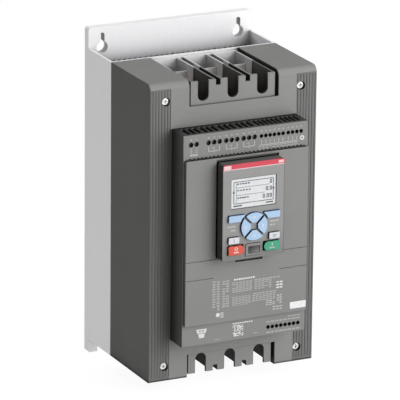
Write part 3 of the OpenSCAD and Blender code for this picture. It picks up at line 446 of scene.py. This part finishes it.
def painted_case_light_and_shade(f, colour):
    """The keypad's case: its face's grey round the pane, with painted light on top and painted
    shade low down and along the right edge.
    """
    pane_rim, edge_width = 1.2 * MM, 0.9 * MM
    shade_start, shade_end = 2 * MM, 30 * MM
    top_light_tone, edge_shade_tone, low_shade_tone = 1.35, 0.62, 0.72
    low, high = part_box("keypad_case")
    pane_low, pane_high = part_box("display_window")
    in_pane = f.every(
        f.within(f.axis("X"), pane_low.x - pane_rim, pane_high.x + pane_rim),
        f.within(f.axis("Z"), pane_low.z - pane_rim, pane_high.z + pane_rim),
    )
    colour = f.mixed(in_pane, colour, KEYPAD_GREY)
    colour = f.toned(colour, f.above(f.axis("Z"), high.z - FACE_SKIN), top_light_tone)
    colour = f.toned(colour, f.above(f.axis("X"), high.x - edge_width), edge_shade_tone)
    lower_shade = f.between(f.axis("Z"), 1, 0, low.z + shade_start, low.z + shade_end)
    return f.toned(colour, lower_shade, low_shade_tone)


def shaded_dent(f, colour):
    """Painted shade in the port cover's finger dent, darkest at its upper left."""
    dent_rim, right_rim = 3 * MM, 2 * MM
    left_shade_tone, upper_shade_tone = 0.28, 0.3
    low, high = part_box("port_cover")
    in_dent = f.above(f.axis("Y"), PORT_FACE + FACE_SKIN)
    across = f.between(f.axis("X"), left_shade_tone, 1, low.x + dent_rim, high.x - right_rim)
    up = f.between(f.axis("Z"), 1, upper_shade_tone, low.z + dent_rim, high.z - dent_rim)
    dark = f.mixed(1.0, colour, f.math("MULTIPLY", across, up), "MULTIPLY")
    return f.mixed(in_dent, colour, dark)


# The keys' darker second colour is painted shade on their sides
def key_finish(name, face, side):
    return lit_face_shaded_side_plastic(name, face, side, KEY_FACE + FACE_SKIN, edge=1 * MM)


finishes = {
    "frame_metal": rolled_metal(
        "frame_metal", linear(253, 253, 254), rough=0.62, metallic=0.46, reach=24 * MM,
        painted_light_tint=painted_fin_gap_shade,
    ),
    "sink_metal": rolled_metal("sink_metal", linear(205, 206, 209), rough=0.42),
    "black_plastic": grained_plastic("black_plastic", linear(46, 46, 46)),
    "bar_copper": rolled_metal(
        "bar_copper", linear(196, 128, 92), rough=0.38, along=(0.1, 1, 1)
    ),
    "board_green": circuit_board("board_green", linear(40, 92, 62)),
    "pale_plastic": grained_plastic(
        "pale_plastic", linear(250, 250, 250), darkest=0.4,
        side=METAL_SHADE, front=CHAMBER_SHADE, shaded=rear_chamber_shade_share,
    ),
    "cover_plastic": grained_plastic(
        "cover_plastic", COVER_GREY, edge=0.9 * MM, darkest=0.1, painted_light_tint=painted_strip_and_rim_shade
    ),
    "module_plastic": grained_plastic(
        "module_plastic", MODULE_GREY, edge=0.6 * MM, reach=60 * MM, side=MODULE_SHADE,
        painted_light_tint=painted_ledge_shade,
    ),
    "screw_steel": rolled_metal(
        "screw_steel", linear(240, 240, 240), rough=0.4, along=(1, 1, 1), edge=0.3 * MM,
        reach=2 * MM,
    ),
    "keypad_plastic": lit_face_shaded_side_plastic(
        "keypad_plastic", KEYPAD_GREY, KEYPAD_SHADED_SIDE, KEYPAD_FACE + FACE_SKIN, painted_light_tint=painted_case_light_and_shade
    ),
    # The band's sides in a darker red, as painted shade
    "band_red": lit_face_shaded_side_plastic(
        "band_red", linear(222, 92, 104), linear(176, 84, 92), KEYPAD_FACE + FACE_SKIN
    ),
    "display_pale": print_ink("display_pale", linear(238, 240, 241)),
    "window_clear": clear_window("window_clear"),
    # Each key's second colour paints the shade on its sides
    "key_blue": key_finish("key_blue", linear(184, 213, 242), linear(62, 90, 148)),
    "key_grey": key_finish("key_grey", linear(230, 232, 238), linear(70, 70, 84)),
    "key_red": key_finish("key_red", linear(230, 104, 88), linear(132, 30, 32)),
    "key_green": key_finish("key_green", linear(86, 173, 139), linear(14, 76, 54)),
}
# Nodes that look different from the rest of their slot
own_finishes = {
    "load_shroud": grained_plastic(
        "shroud_plastic", COVER_GREY, edge=0.6 * MM, darkest=0.1, painted_light_tint=painted_slot_shade
    ),
    # The screws deep in their wells, in a darker grey that paints their shade
    "plug_screws": rolled_metal(
        "shaded_deep_screw_steel", linear(120, 120, 120), rough=0.45, along=(1, 1, 1), edge=0.3 * MM,
        reach=6 * MM,
    ),
    "port_cover": lit_face_shaded_side_plastic(
        "port_plastic", PORT_GREY, PORT_GREY, PORT_FACE + FACE_SKIN, darkest=0.7, painted_light_tint=shaded_dent
    ),
}
pale_ink = print_ink("pale_ink", linear(206, 206, 204))
soft_ink = print_ink("soft_ink", linear(188, 188, 186))
white_ink = print_ink("white_ink", linear(240, 240, 239))
label_white = print_ink("label_white", linear(253, 253, 253))
pink_ink = print_ink("pink_ink", linear(255, 224, 226))
rose_ink = print_ink("rose_ink", linear(255, 214, 218))
display_ink = print_ink("display_ink", linear(44, 46, 48))
display_line = print_ink("display_line", linear(128, 130, 132))
# Near-black ink for the painted shade of the vents
vent_shade_ink = print_ink("vent_shade_ink", linear(20, 20, 20))
speckle_ink = speckled_print("speckle_ink", linear(130, 130, 128), linear(232, 232, 230))


def dress_nodes():
    slots = {entry["node"]: entry["material_slot"] for entry in frame["record"]["subparts"]}
    for name, thing in nodes.items():
        thing.data.materials.clear()
        thing.data.materials.append(own_finishes.get(name) or finishes[slots[name]])


# Print and display marks


def field_tree():
    """Geometry Nodes: a field of thin bars in columns and rows, with bars of uneven length."""
    tree = bpy.data.node_groups.new("mark_field", "GeometryNodeTree")
    sockets = {}
    for name, kind in (
        ("Columns", "NodeSocketInt"), ("Rows", "NodeSocketInt"),
        ("Width", "NodeSocketFloat"), ("Height", "NodeSocketFloat"),
        ("Mark Width", "NodeSocketFloat"), ("Mark Height", "NodeSocketFloat"),
        ("Thickness", "NodeSocketFloat"), ("Shortest", "NodeSocketFloat"),
        ("Fill", "NodeSocketFloat"), ("Seed", "NodeSocketInt"),
        ("Middle", "NodeSocketVector"), ("Ink", "NodeSocketMaterial"),
    ):
        sockets[name] = tree.interface.new_socket(name=name, in_out="INPUT", socket_type=kind)
    tree.interface.new_socket(name="Geometry", in_out="OUTPUT", socket_type="NodeSocketGeometry")
    add = tree.nodes.new
    link = tree.links.new
    given = add("NodeGroupInput").outputs
    grid = add("GeometryNodeMeshGrid")
    link(given["Width"], grid.inputs["Size X"])
    link(given["Height"], grid.inputs["Size Y"])
    link(given["Columns"], grid.inputs["Vertices X"])
    link(given["Rows"], grid.inputs["Vertices Y"])
    size = add("ShaderNodeCombineXYZ")
    link(given["Mark Width"], size.inputs["X"])
    link(given["Mark Height"], size.inputs["Y"])
    link(given["Thickness"], size.inputs["Z"])
    mark = add("GeometryNodeMeshCube")
    link(size.outputs["Vector"], mark.inputs["Size"])
    least = add("ShaderNodeCombineXYZ")
    link(given["Shortest"], least.inputs["X"])
    least.inputs["Y"].default_value = 1
    least.inputs["Z"].default_value = 1
    lengths = add("FunctionNodeRandomValue")
    lengths.data_type = "FLOAT_VECTOR"
    lengths.inputs[1].default_value = (1, 1, 1)
    link(least.outputs["Vector"], lengths.inputs[0])
    link(given["Seed"], lengths.inputs["Seed"])
    kept = add("FunctionNodeRandomValue")
    kept.data_type = "BOOLEAN"
    link(given["Fill"], kept.inputs["Probability"])
    link(given["Seed"], kept.inputs["Seed"])
    spread = add("GeometryNodeInstanceOnPoints")
    link(grid.outputs["Mesh"], spread.inputs["Points"])
    link(mark.outputs["Mesh"], spread.inputs["Instance"])
    link(kept.outputs[3], spread.inputs["Selection"])
    link(lengths.outputs[0], spread.inputs["Scale"])
    stand = add("GeometryNodeTransform")
    stand.inputs["Rotation"].default_value = (math.radians(90), 0, 0)
    link(spread.outputs["Instances"], stand.inputs["Geometry"])
    link(given["Middle"], stand.inputs["Translation"])
    solid = add("GeometryNodeRealizeInstances")
    link(stand.outputs["Geometry"], solid.inputs["Geometry"])
    inked = add("GeometryNodeSetMaterial")
    link(solid.outputs["Geometry"], inked.inputs["Geometry"])
    link(given["Ink"], inked.inputs["Material"])
    link(inked.outputs["Geometry"], add("NodeGroupOutput").inputs["Geometry"])
    return tree, {name: socket.identifier for name, socket in sockets.items()}


mark_tree, mark_inputs = field_tree()
INK_THICKNESS = 0.08 * MM
DOT_STEPS = 10


def mark_field(face, x, high, columns, rows, mark, ink, shortest=1.0, fill=1.0, seed=1):
    """A field of bars on a front face, over a range of x and of height, all in millimetres."""
    holder = bpy.data.objects.new("field", bpy.data.meshes.new("field"))
    scene.collection.objects.link(holder)
    modifier = holder.modifiers.new("field", "NODES")
    modifier.node_group = mark_tree
    width, tall = mark
    middle = (middle_of(x) * MM, face - INK_THICKNESS / 2, height(middle_of(high)))
    values = {
        "Columns": columns, "Rows": rows,
        "Width": max(x[1] - x[0] - width, 0) * MM,
        "Height": max(high[1] - high[0] - tall, 0) * MM,
        "Mark Width": width * MM, "Mark Height": tall * MM, "Thickness": INK_THICKNESS,
        "Shortest": shortest, "Fill": fill, "Seed": seed, "Ink": ink, "Middle": middle,
    }
    for name, value in values.items():
        modifier[mark_inputs[name]] = value
    graph = bpy.context.evaluated_depsgraph_get()
    mesh = bpy.data.meshes.new_from_object(holder.evaluated_get(graph))
    bpy.data.objects.remove(holder)
    return mesh


def middle_of(span):
    return (span[0] + span[1]) / 2


def around(middle, half):
    return (middle - half, middle + half)


def text_block(face, x, high, columns, rows, ink, seed, fill=0.96, share=0.6):
    """A block of print as rows of plain bars that fill the given share of each row's height."""
    column_share, shortest = 0.95, 0.72
    width = (x[1] - x[0]) / columns * column_share
    tall = (high[1] - high[0]) / rows * share
    return mark_field(face, x, high, columns, rows, (width, tall), ink, shortest, fill, seed)


def text_row(face, x, high, columns, ink, seed, share=0.9):
    """One full row of print."""
    return text_block(face, x, high, columns, 1, ink, seed, 1, share)


def finished_mesh(shape, name, ink):
    bmesh.ops.recalc_face_normals(shape, faces=shape.faces)
    mesh = bpy.data.meshes.new(name)
    shape.to_mesh(mesh)
    shape.free()
    mesh.materials.append(ink)
    return mesh


def outline_plate(face, points, ink, thickness=INK_THICKNESS):
    """A thin plate on a front face from an outline in x and height, in millimetres."""
    shape = bmesh.new()
    back = [shape.verts.new((x * MM, face, height(h))) for x, h in points]
    front = [shape.verts.new((x * MM, face - thickness, height(h))) for x, h in points]
    shape.faces.new(front)
    shape.faces.new(back[::-1])
    count = len(points)
    for i in range(count):
        j = (i + 1) % count
        shape.faces.new((front[j], front[i], back[i], back[j]))
    return finished_mesh(shape, "plate", ink)


def bar(face, x, high, ink):
    corners = [(x[0], high[0]), (x[1], high[0]), (x[1], high[1]), (x[0], high[1])]
    return outline_plate(face, corners, ink)


def rounded(x, high, radius, steps=6):
    points = []
    corners = (
        (x[1] - radius, high[0] + radius, -90), (x[1] - radius, high[1] - radius, 0),
        (x[0] + radius, high[1] - radius, 90), (x[0] + radius, high[0] + radius, 180),
    )
    for px, ph, start in corners:
        for i in range(steps + 1):
            angle = math.radians(start + 90 * i / steps)
            points.append((px + radius * math.cos(angle), ph + radius * math.sin(angle)))
    return points


def disc(middle, radius, steps=24):
    return [
        (
            middle[0] + radius * math.cos(2 * math.pi * i / steps),
            middle[1] + radius * math.sin(2 * math.pi * i / steps),
        )
        for i in range(steps)
    ]


def ring(face, outer, inner, ink):
    """A thin closed ring on a front face between two outlines with as many points."""
    shape = bmesh.new()
    front = face - INK_THICKNESS
    levels = []
    for outline, y in ((outer, face), (outer, front), (inner, front), (inner, face)):
        levels.append([shape.verts.new((x * MM, y, height(h))) for x, h in outline])
    count = len(outer)
    for first, second in zip(levels, levels[1:] + levels[:1]):
        for i in range(count):
            j = (i + 1) % count
            shape.faces.new((first[i], first[j], second[j], second[i]))
    return finished_mesh(shape, "ring", ink)


def border(face, x, high, width, radius, ink):
    """A rectangular border with rounded corners, of one width all round."""
    outer = rounded(x, high, radius, 2)
    inner_x, inner_high = (x[0] + width, x[1] - width), (high[0] + width, high[1] - width)
    return ring(face, outer, rounded(inner_x, inner_high, radius / 2, 2), ink)


def gather(name, meshes, body):
    """Joins loose meshes into one piece that moves with a body."""
    materials = []
    shape = bmesh.new()
    for mesh in meshes:
        offset = []
        for material in mesh.materials:
            if material not in materials:
                materials.append(material)
            offset.append(materials.index(material))
        start = len(shape.faces)
        shape.from_mesh(mesh)
        shape.faces.ensure_lookup_table()
        for face in shape.faces[start:]:
            face.material_index = offset[face.material_index] if offset else 0
        bpy.data.meshes.remove(mesh)
    joined = bpy.data.meshes.new(name)
    shape.to_mesh(joined)
    shape.free()
    for material in materials:
        joined.materials.append(material)
    piece = bpy.data.objects.new(name, joined)
    scene.collection.objects.link(piece)
    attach(piece, body)
    return piece


def zero_digit(face, middle, wide, tall, stroke, ink):
    outer_round, inner_round, steps = wide * 0.42, wide * 0.12, 4
    x, high = around(middle[0], wide / 2), around(middle[1], tall / 2)
    inner_x = (x[0] + stroke, x[1] - stroke)
    inner_high = (high[0] + stroke, high[1] - stroke)
    outer = rounded(x, high, outer_round, steps)
    return ring(face, outer, rounded(inner_x, inner_high, inner_round, steps), ink)


def display_marks():
    """The display's pale sheet and its reading: a frame, rows of values and two side arrows."""
    (x0, x1), (h0, h1) = extent("display_window")
    sheet_set, rim, rim_round = 0.7, 1.1, 0.4
    sheet_x, sheet_high = (x0 + sheet_set, x1 - sheet_set), (h0 + sheet_set, h1 - sheet_set)
    sheet = bar(DISPLAY_FACE, sheet_x, sheet_high, finishes["display_pale"])
    face = DISPLAY_FACE - INK_THICKNESS
    parts = [sheet, border(face, sheet_x, sheet_high, rim, rim_round, white_ink)]

    # Places in the window are shares of its width and height, from its upper left corner
    def across(share):
        return x0 + (x1 - x0) * share

    def down(share):
        return h1 - (h1 - h0) * share

    frame_x, frame_high = (across(0.06), across(0.945)), (down(0.84), down(0.105))
    frame_line, frame_round = 0.7, 0.8
    parts.append(border(face, frame_x, frame_high, frame_line, frame_round, display_ink))
    side_rule = (across(0.115), across(0.125))
    parts.append(bar(face, side_rule, (down(0.8), down(0.14)), display_line))
    rule_start, rule_half = 0.12, 0.25
    for end, at in ((0.86, 0.31), (0.76, 0.56)):
        rule_x = (across(rule_start), across(end))
        parts.append(bar(face, rule_x, around(down(at), rule_half), display_line))

    caption_half, caption_bars, caption_bar, shortest = 0.75, 5, (2.6, 1.3), 0.75
    for start, end, at in (
        (0.13, 0.42, 0.185), (0.14, 0.44, 0.4), (0.14, 0.4, 0.645),
        (0.06, 0.25, 0.905), (0.78, 0.94, 0.905),
    ):
        seed = int(at * 100)
        caption_x, caption_high = (across(start), across(end)), around(down(at), caption_half)
        parts.append(mark_field(
            face, caption_x, caption_high, caption_bars, 1, caption_bar, display_ink, shortest,
            seed=seed,
        ))

    digit = (2.7, 4.6, 0.85)
    step, last_digit = 3.6, across(0.885)
    point_room, point_drop, point_radius = 1.1, 2, 0.5
    for places, at in ((0, 0.215), (1, 0.44), (2, 0.68)):
        for place in range(places):
            middle = (last_digit - place * step, down(at))
            parts.append(zero_digit(face, middle, *digit, display_ink))
        lead = last_digit - places * step
        if places:
            point = (lead + step / 2 - point_room / 2, down(at) - point_drop)
            parts.append(outline_plate(face, disc(point, point_radius, DOT_STEPS), display_ink))
            lead -= point_room
        parts.append(zero_digit(face, (lead, down(at)), *digit, display_ink))

    arrow_tip, arrow_base, arrow_half, arrow_high = 1.3, 1.1, 1.8, down(0.455)
    for at_x, way in ((frame_x[0], -1), (frame_x[1], 1)):
        tip, base = at_x + way * arrow_tip, at_x - way * arrow_base
        low, high = around(arrow_high, arrow_half)
        points = [(tip, arrow_high), (base, high), (base, low)]
        parts.append(outline_plate(face, points, display_ink))
    gather("display_reading", parts, "keypad")


# Blocks of print on the panel: x and height in millimetres, columns, rows, ink and seed
PANEL_PRINT = (
    ((-41, -36.6), (106, 136), 1, 11, soft_ink, 4),
    ((-35.8, -31.4), (107, 135.5), 1, 11, soft_ink, 5),
    ((-29, -20.4), (105, 135), 2, 11, soft_ink, 6),
    ((-17, 7.3), (120, 131.6), 6, 6, soft_ink, 7),
    ((9.8, 31), (120.4, 130), 5, 5, soft_ink, 8),
    ((9.8, 41), (130.6, 132), 7, 1, pale_ink, 9),
    ((-17, 5.8), (106.4, 115), 6, 5, soft_ink, 10),
    ((-17, 2.4), (104.4, 105.6), 5, 1, soft_ink, 11),
    ((7.4, 36), (106.6, 114), 7, 4, soft_ink, 12),
    ((8.3, 37), (115, 116.2), 6, 1, pale_ink, 13),
    ((24, 35.6), (100, 105.6), 3, 3, pale_ink, 14),
    ((37.4, 43.6), (100.6, 110.6), 2, 4, pale_ink, 15),
    ((32.4, 44.4), (93.6, 97.8), 3, 2, pale_ink, 16),
    ((36.4, 44.4), (118, 125.8), 2, 3, white_ink, 17),
    ((-30.6, -27), (93.6, 99.2), 2, 3, white_ink, 18),
    ((-34.6, -32), (102.4, 107), 1, 3, pale_ink, 19),
)


def panel_marks():
    """Small print on the panel as rows of plain bars, with a dot and the blank label plate."""
    face = PANEL_FACE
    title_x, title_high = (-14.8, 10.6), (133.6, 135.6)
    parts = [text_row(face, title_x, title_high, 9, white_ink, 3)]
    for x, high, columns, rows, ink, seed in PANEL_PRINT:
        parts.append(text_block(face, x, high, columns, rows, ink, seed))
    dot_middle, dot_radius = (-33.8, 97), 2.4
    parts.append(outline_plate(face, disc(dot_middle, dot_radius), white_ink))
    gather("panel_print", parts, "starter")

    label_x, label_high, label_round, label_thick = (53.4, 72.9), (91.8, 99.6), 0.6, 0.5 * MM
    label = rounded(label_x, label_high, label_round)
    plate = outline_plate(face, label, label_white, label_thick)
    piece = gather("label_plate", [plate], "starter")
    soften = piece.modifiers.new("soften", "BEVEL")
    soften.width = 0.15 * MM
    soften.segments = 2
    soften.limit_method = "ANGLE"


WIDE_PITCH = 6.55
NARROW_PITCH = 5.2


def upper_strip_print(face):
    """Marks by the upper driver holes: ticks above, brackets below the relays, rows elsewhere."""
    tick_high, tick_shortest = (296.2, 298.2), 0.6
    relay_reach, relay_tick, signal_reach, signal_tick = 1.3, (2.4, 1.5), 1.2, (2.2, 1.5)
    line_half = 0.4
    bracket_high, leg_high, stem_high = (281.6, 282.4), (282, 287.4), (279.4, 286.6)
    arm_reach, arm_high = 3, (285, 285.8)
    column_half, column_high, foot_reach, foot_high = 1.2, (282.4, 287.6), 1.4, (278.6, 281.2)
    stroke_reach, stroke, stroke_high, stroke_shortest = 0.6, (1.2, 4.4), (282.6, 287.4), 0.7

    second = extent("relay_plug_2")[0][0]
    group = extent("relay_plug_3")[0][0] - second
    firsts = [(extent("relay_plug_1")[0][0] + WIDE_PITCH / 2, 2)]
    firsts += [(second + WIDE_PITCH / 2 + i * group, 3) for i in range(3)]
    parts = []
    for first, count in firsts:
        last = first + WIDE_PITCH * (count - 1)
        tick_x = (first - relay_reach, last + relay_reach)
        parts.append(mark_field(
            face, tick_x, tick_high, count, 1, relay_tick, soft_ink, tick_shortest, seed=30
        ))
        if count == 3:
            middle = first + WIDE_PITCH
            parts.append(bar(face, (first, last), bracket_high, pale_ink))
            for x in (first, last):
                parts.append(bar(face, around(x, line_half), leg_high, pale_ink))
            parts.append(bar(face, around(middle, line_half), stem_high, soft_ink))
            parts.append(bar(face, (middle - arm_reach, middle), arm_high, soft_ink))
        else:
            for x in (first, last):
                column_x = around(x, column_half)
                parts.append(text_block(face, column_x, column_high, 1, 3, soft_ink, 31))
            foot_x = (first - foot_reach, last + foot_reach)
            parts.append(text_row(face, foot_x, foot_high, 3, pale_ink, 32, 0.8))
    for name, count in (("signal_plug_1", 6), ("signal_plug_2", 4)):
        x = extent(name)[0]
        first, last = x[0] + NARROW_PITCH / 2, x[1] - NARROW_PITCH / 2
        tick_x = (first - signal_reach, last + signal_reach)
        parts.append(mark_field(
            face, tick_x, tick_high, count, 1, signal_tick, soft_ink, tick_shortest, seed=33
        ))
        stroke_x = (first - stroke_reach, last + stroke_reach)
        parts.append(mark_field(
            face, stroke_x, stroke_high, count, 1, stroke, soft_ink, stroke_shortest, seed=34
        ))
    line_x, line_high = (16.5, 62), (281.2, 282)
    rows_x, rows_high = (14.5, 62), (277.4, 280.4)
    parts.append(bar(face, line_x, line_high, pale_ink))
    parts.append(text_block(face, rows_x, rows_high, 11, 2, soft_ink, 35))
    ring_middle, ring_outer, ring_inner = (67.7, 284.1), 2.6, 1.3
    outer, inner = disc(ring_middle, ring_outer), disc(ring_middle, ring_inner)
    parts.append(ring(face, outer, inner, white_ink))
    return parts


def lower_strip_print(face):
    """Marks on the lower section: ticks by the driver holes, a speckled field, a shield, lines."""
    holes = (extent("signal_plug_3")[0][0], extent("signal_plug_4")[0][1])
    parts = [
        text_row(face, holes, (77.8, 79.4), 8, soft_ink, 37),
        text_row(face, holes, (65.6, 67.4), 8, soft_ink, 38),
        text_row(face, (54, 68.6), (81.2, 82.6), 4, soft_ink, 39),
        text_row(face, (-13.4, 11.2), (81.6, 83.1), 9, white_ink, 40),
        bar(face, (-13.2, -0.4), (67.6, 80.4), speckle_ink),
        text_row(face, (11.6, 18), (67.6, 68.8), 3, soft_ink, 41, 0.8),
        text_row(face, (-34.6, -28.4), (66.4, 67.6), 3, soft_ink, 42, 0.8),
    ]
    # The shield's right half, as distance from its middle and height
    middle = -50.8
    half = [(6.4, 81.6), (5.4, 77.6), (3.8, 76.2), (3, 71.4)]
    outline = [(middle - x, h) for x, h in half] + [(middle + x, h) for x, h in half[::-1]]
    parts.append(outline_plate(face, outline, white_ink))
    patch_face, patch_x, patch_high = face - INK_THICKNESS, around(middle, 3.6), (76.4, 80)
    grey = finishes["module_plastic"]
    parts.append(text_block(patch_face, patch_x, patch_high, 2, 2, grey, 45, 1, 0.5))
    return parts


def vent_shade_marks():
    """Thin dark marks of painted shade above the panel's ledge, for the shaded upper ends of its
    vents.
    """
    (x0, x1), (_, top) = extent("front_panel")
    pitch, width, margin, tall = 4.75, 2.7, 4, 1.3
    count = int((x1 - x0 - 2 * margin) / pitch)
    half = ((count - 1) * pitch + width) / 2
    mark = (width, tall)
    marks = mark_field(HOUSING_FACE, (-half, half), (top, top + tall), count, 1, mark, vent_shade_ink)
    gather("vent_shade_ends", [marks], "starter")


def strip_marks():
    parts = upper_strip_print(HOUSING_FACE) + lower_strip_print(HOUSING_FACE)
    gather("strip_print", parts, "starter")


def key_signs():
    """Plain signs on the keys, each moving with its key."""
    face = KEY_FACE
    line_half = 0.4
    # A chevron that points up, this far from the middle of the four arrow keys
    reach = 10.2
    arrow = (
        (0, reach + 1.5), (-2.3, reach - 0.7), (-1.7, reach - 1.3),
        (0, reach + 0.3), (1.7, reach - 1.3), (2.3, reach - 0.7),
    )
    pad_middle = middle_of(extent("left_key")[1])
    for name, turn in (("up_key", 0), ("right_key", 90), ("down_key", 180), ("left_key", 270)):
        c, s = math.cos(math.radians(turn)), math.sin(math.radians(turn))
        points = [(c * x + s * y, pad_middle - s * x + c * y) for x, y in arrow]
        gather(name + "_sign", [outline_plate(face, points, white_ink)], name + "_cap")

    large_x, row_half, large_middle = 21.6, 3, 174.4
    row_high = (large_middle - 3, large_middle - 1.4)
    ring_middle, ring_outer, ring_inner = (-large_x, large_middle + 1.6), 1.9, 1.2
    outer, inner = disc(ring_middle, ring_outer), disc(ring_middle, ring_inner)
    stop = [
        ring(face, outer, inner, white_ink),
        text_row(face, around(-large_x, row_half), row_high, 3, pink_ink, 43),
    ]
    gather("stop_key_sign", stop, "stop_key_cap")
    start_high = (large_middle, large_middle + 3.4)
    start = [
        bar(face, around(large_x, line_half), start_high, white_ink),
        text_row(face, around(large_x, row_half), row_high, 3, pale_ink, 44),
    ]
    gather("start_key_sign", start, "start_key_cap")

    info_x, dot_high, dot_radius, stem_high = -24.3, 187.4, 0.5, (183.6, 186.4)
    info = [
        outline_plate(face, disc((info_x, dot_high), dot_radius, DOT_STEPS), display_line),
        bar(face, around(info_x, line_half), stem_high, display_line),
    ]
    gather("info_key_sign", info, "info_key_cap")
    mode_x, mode_lines = (22, 26.6), ((186, 186.6), (184.4, 185))
    mode = [bar(face, mode_x, high, display_line) for high in mode_lines]
    gather("mode_key_sign", mode, "mode_key_cap")


def keypad_marks():
    """Print between the keys, and the pale bars and line on the coloured band."""
    label_half = 0.9
    labels = []
    for x, middle, columns, seed in (
        ((-31, -21.6), 200.7, 3, 51), ((-27, -21.6), 196.4, 2, 52),
        ((20, 30.4), 201.4, 3, 53), ((20, 26), 197.2, 2, 54),
    ):
        high = around(middle, label_half)
        labels.append(text_row(KEYPAD_FACE, x, high, columns, pale_ink, seed, 0.85))
    gather("keypad_print", labels, "keypad")

    (x0, x1), (h0, h1) = extent("keypad_band")
    line_set, line, corner = 0.4, 0.9, 0.4
    left_field = rounded((x0 + 0.8, x0 + 9.4), (h0 + 0.3, h1 - 0.9), corner)
    right_field = rounded((x1 - 7.6, x1 - 1.4), (h0 + 0.9, h1 - 1.3), corner)
    bars = [
        bar(KEYPAD_FACE, (x0 + line_set, x1 - line_set), (h0 - line, h0), pink_ink),
        outline_plate(BAND_FACE, left_field, pink_ink),
        outline_plate(BAND_FACE, right_field, rose_ink),
    ]
    gather("band_print", bars, "keypad")


# Studio

WHITE = (1, 1, 1, 1)
FILL_LEVEL = 0.09
FLOOR_BOUNCE = 0.62
FLOOR_SHADOW = 0.22
FLOOR_GLOW = 0.93
FLOOR_REACH = 8
LAMP_AIM = Vector((0, -0.1, 0))


def studio():
    world = bpy.data.worlds.new("studio")
    scene.world = world
    world.use_nodes = True
    tree = world.node_tree
    tree.nodes.clear()
    output = tree.nodes.new("ShaderNodeOutputWorld")
    seen = tree.nodes.new("ShaderNodeBackground")
    seen.inputs["Color"].default_value = WHITE
    seen.inputs["Strength"].default_value = 1
    fill = tree.nodes.new("ShaderNodeBackground")
    fill.inputs["Color"].default_value = WHITE
    fill.inputs["Strength"].default_value = FILL_LEVEL
    show(tree, fill.outputs["Background"], seen.outputs["Background"], output)

    lamp("key_lamp", spot=(1.6, -2.3, 1.0), size=2.4, power=54, shine=False)
    lamp("front_lamp", spot=(0.5, -3.2, 0.2), size=2.4, power=38, shine=True)
    lamp("top_lamp", spot=(0.2, -0.2, 2.4), size=1.6, power=15, shine=True)

    floor = bpy.data.meshes.new("floor")
    corners = [(-1, -1), (1, -1), (1, 1), (-1, 1)]
    places = [(x * FLOOR_REACH, y * FLOOR_REACH, FLOOR_LEVEL) for x, y in corners]
    floor.from_pydata(places, [], [(0, 1, 2, 3)])
    ground = bpy.data.objects.new("floor", floor)
    scene.collection.objects.link(ground)
    floor.materials.append(floor_finish())


def show(tree, lit, seen, output):
    """Camera rays, shine and rays through clear pieces get the seen shader, others the lit one."""
    path = tree.nodes.new("ShaderNodeLightPath")
    shown = path.outputs["Is Camera Ray"]
    for kind in ("Is Glossy Ray", "Is Transmission Ray"):
        either = tree.nodes.new("ShaderNodeMath")
        either.operation = "MAXIMUM"
        tree.links.new(shown, either.inputs[0])
        tree.links.new(path.outputs[kind], either.inputs[1])
        shown = either.outputs["Value"]
    mix = tree.nodes.new("ShaderNodeMixShader")
    tree.links.new(shown, mix.inputs["Fac"])
    tree.links.new(lit, mix.inputs[1])
    tree.links.new(seen, mix.inputs[2])
    tree.links.new(mix.outputs["Shader"], output.inputs["Surface"])


def floor_finish():
    """A pale floor that shows white with the object's shadow and throws some light back."""
    material = bpy.data.materials.new("floor_white")
    material.use_nodes = True
    tree = material.node_tree
    tree.nodes.clear()
    output = tree.nodes.new("ShaderNodeOutputMaterial")
    plain = tree.nodes.new("ShaderNodeBsdfDiffuse")
    plain.inputs["Color"].default_value = (FLOOR_BOUNCE, FLOOR_BOUNCE, FLOOR_BOUNCE, 1)
    thin = tree.nodes.new("ShaderNodeBsdfDiffuse")
    thin.inputs["Color"].default_value = (FLOOR_SHADOW, FLOOR_SHADOW, FLOOR_SHADOW, 1)
    glow = tree.nodes.new("ShaderNodeEmission")
    glow.inputs["Strength"].default_value = FLOOR_GLOW
    both = tree.nodes.new("ShaderNodeAddShader")
    tree.links.new(thin.outputs["BSDF"], both.inputs[0])
    tree.links.new(glow.outputs["Emission"], both.inputs[1])
    show(tree, plain.outputs["BSDF"], both.outputs["Shader"], output)
    return material


def lamp(name, spot, size, power, shine):
    data = bpy.data.lights.new(name, "AREA")
    data.shape = "DISK"
    data.size = size
    data.energy = power
    thing = bpy.data.objects.new(name, data)
    scene.collection.objects.link(thing)
    thing.visible_glossy = shine
    thing.location = spot
    thing.rotation_euler = (LAMP_AIM - Vector(spot)).to_track_quat("-Z", "Y").to_euler()


place_camera()
dress_nodes()
display_marks()
panel_marks()
strip_marks()
vent_shade_marks()
key_signs()
keypad_marks()
studio()

bpy.context.view_layer.update()
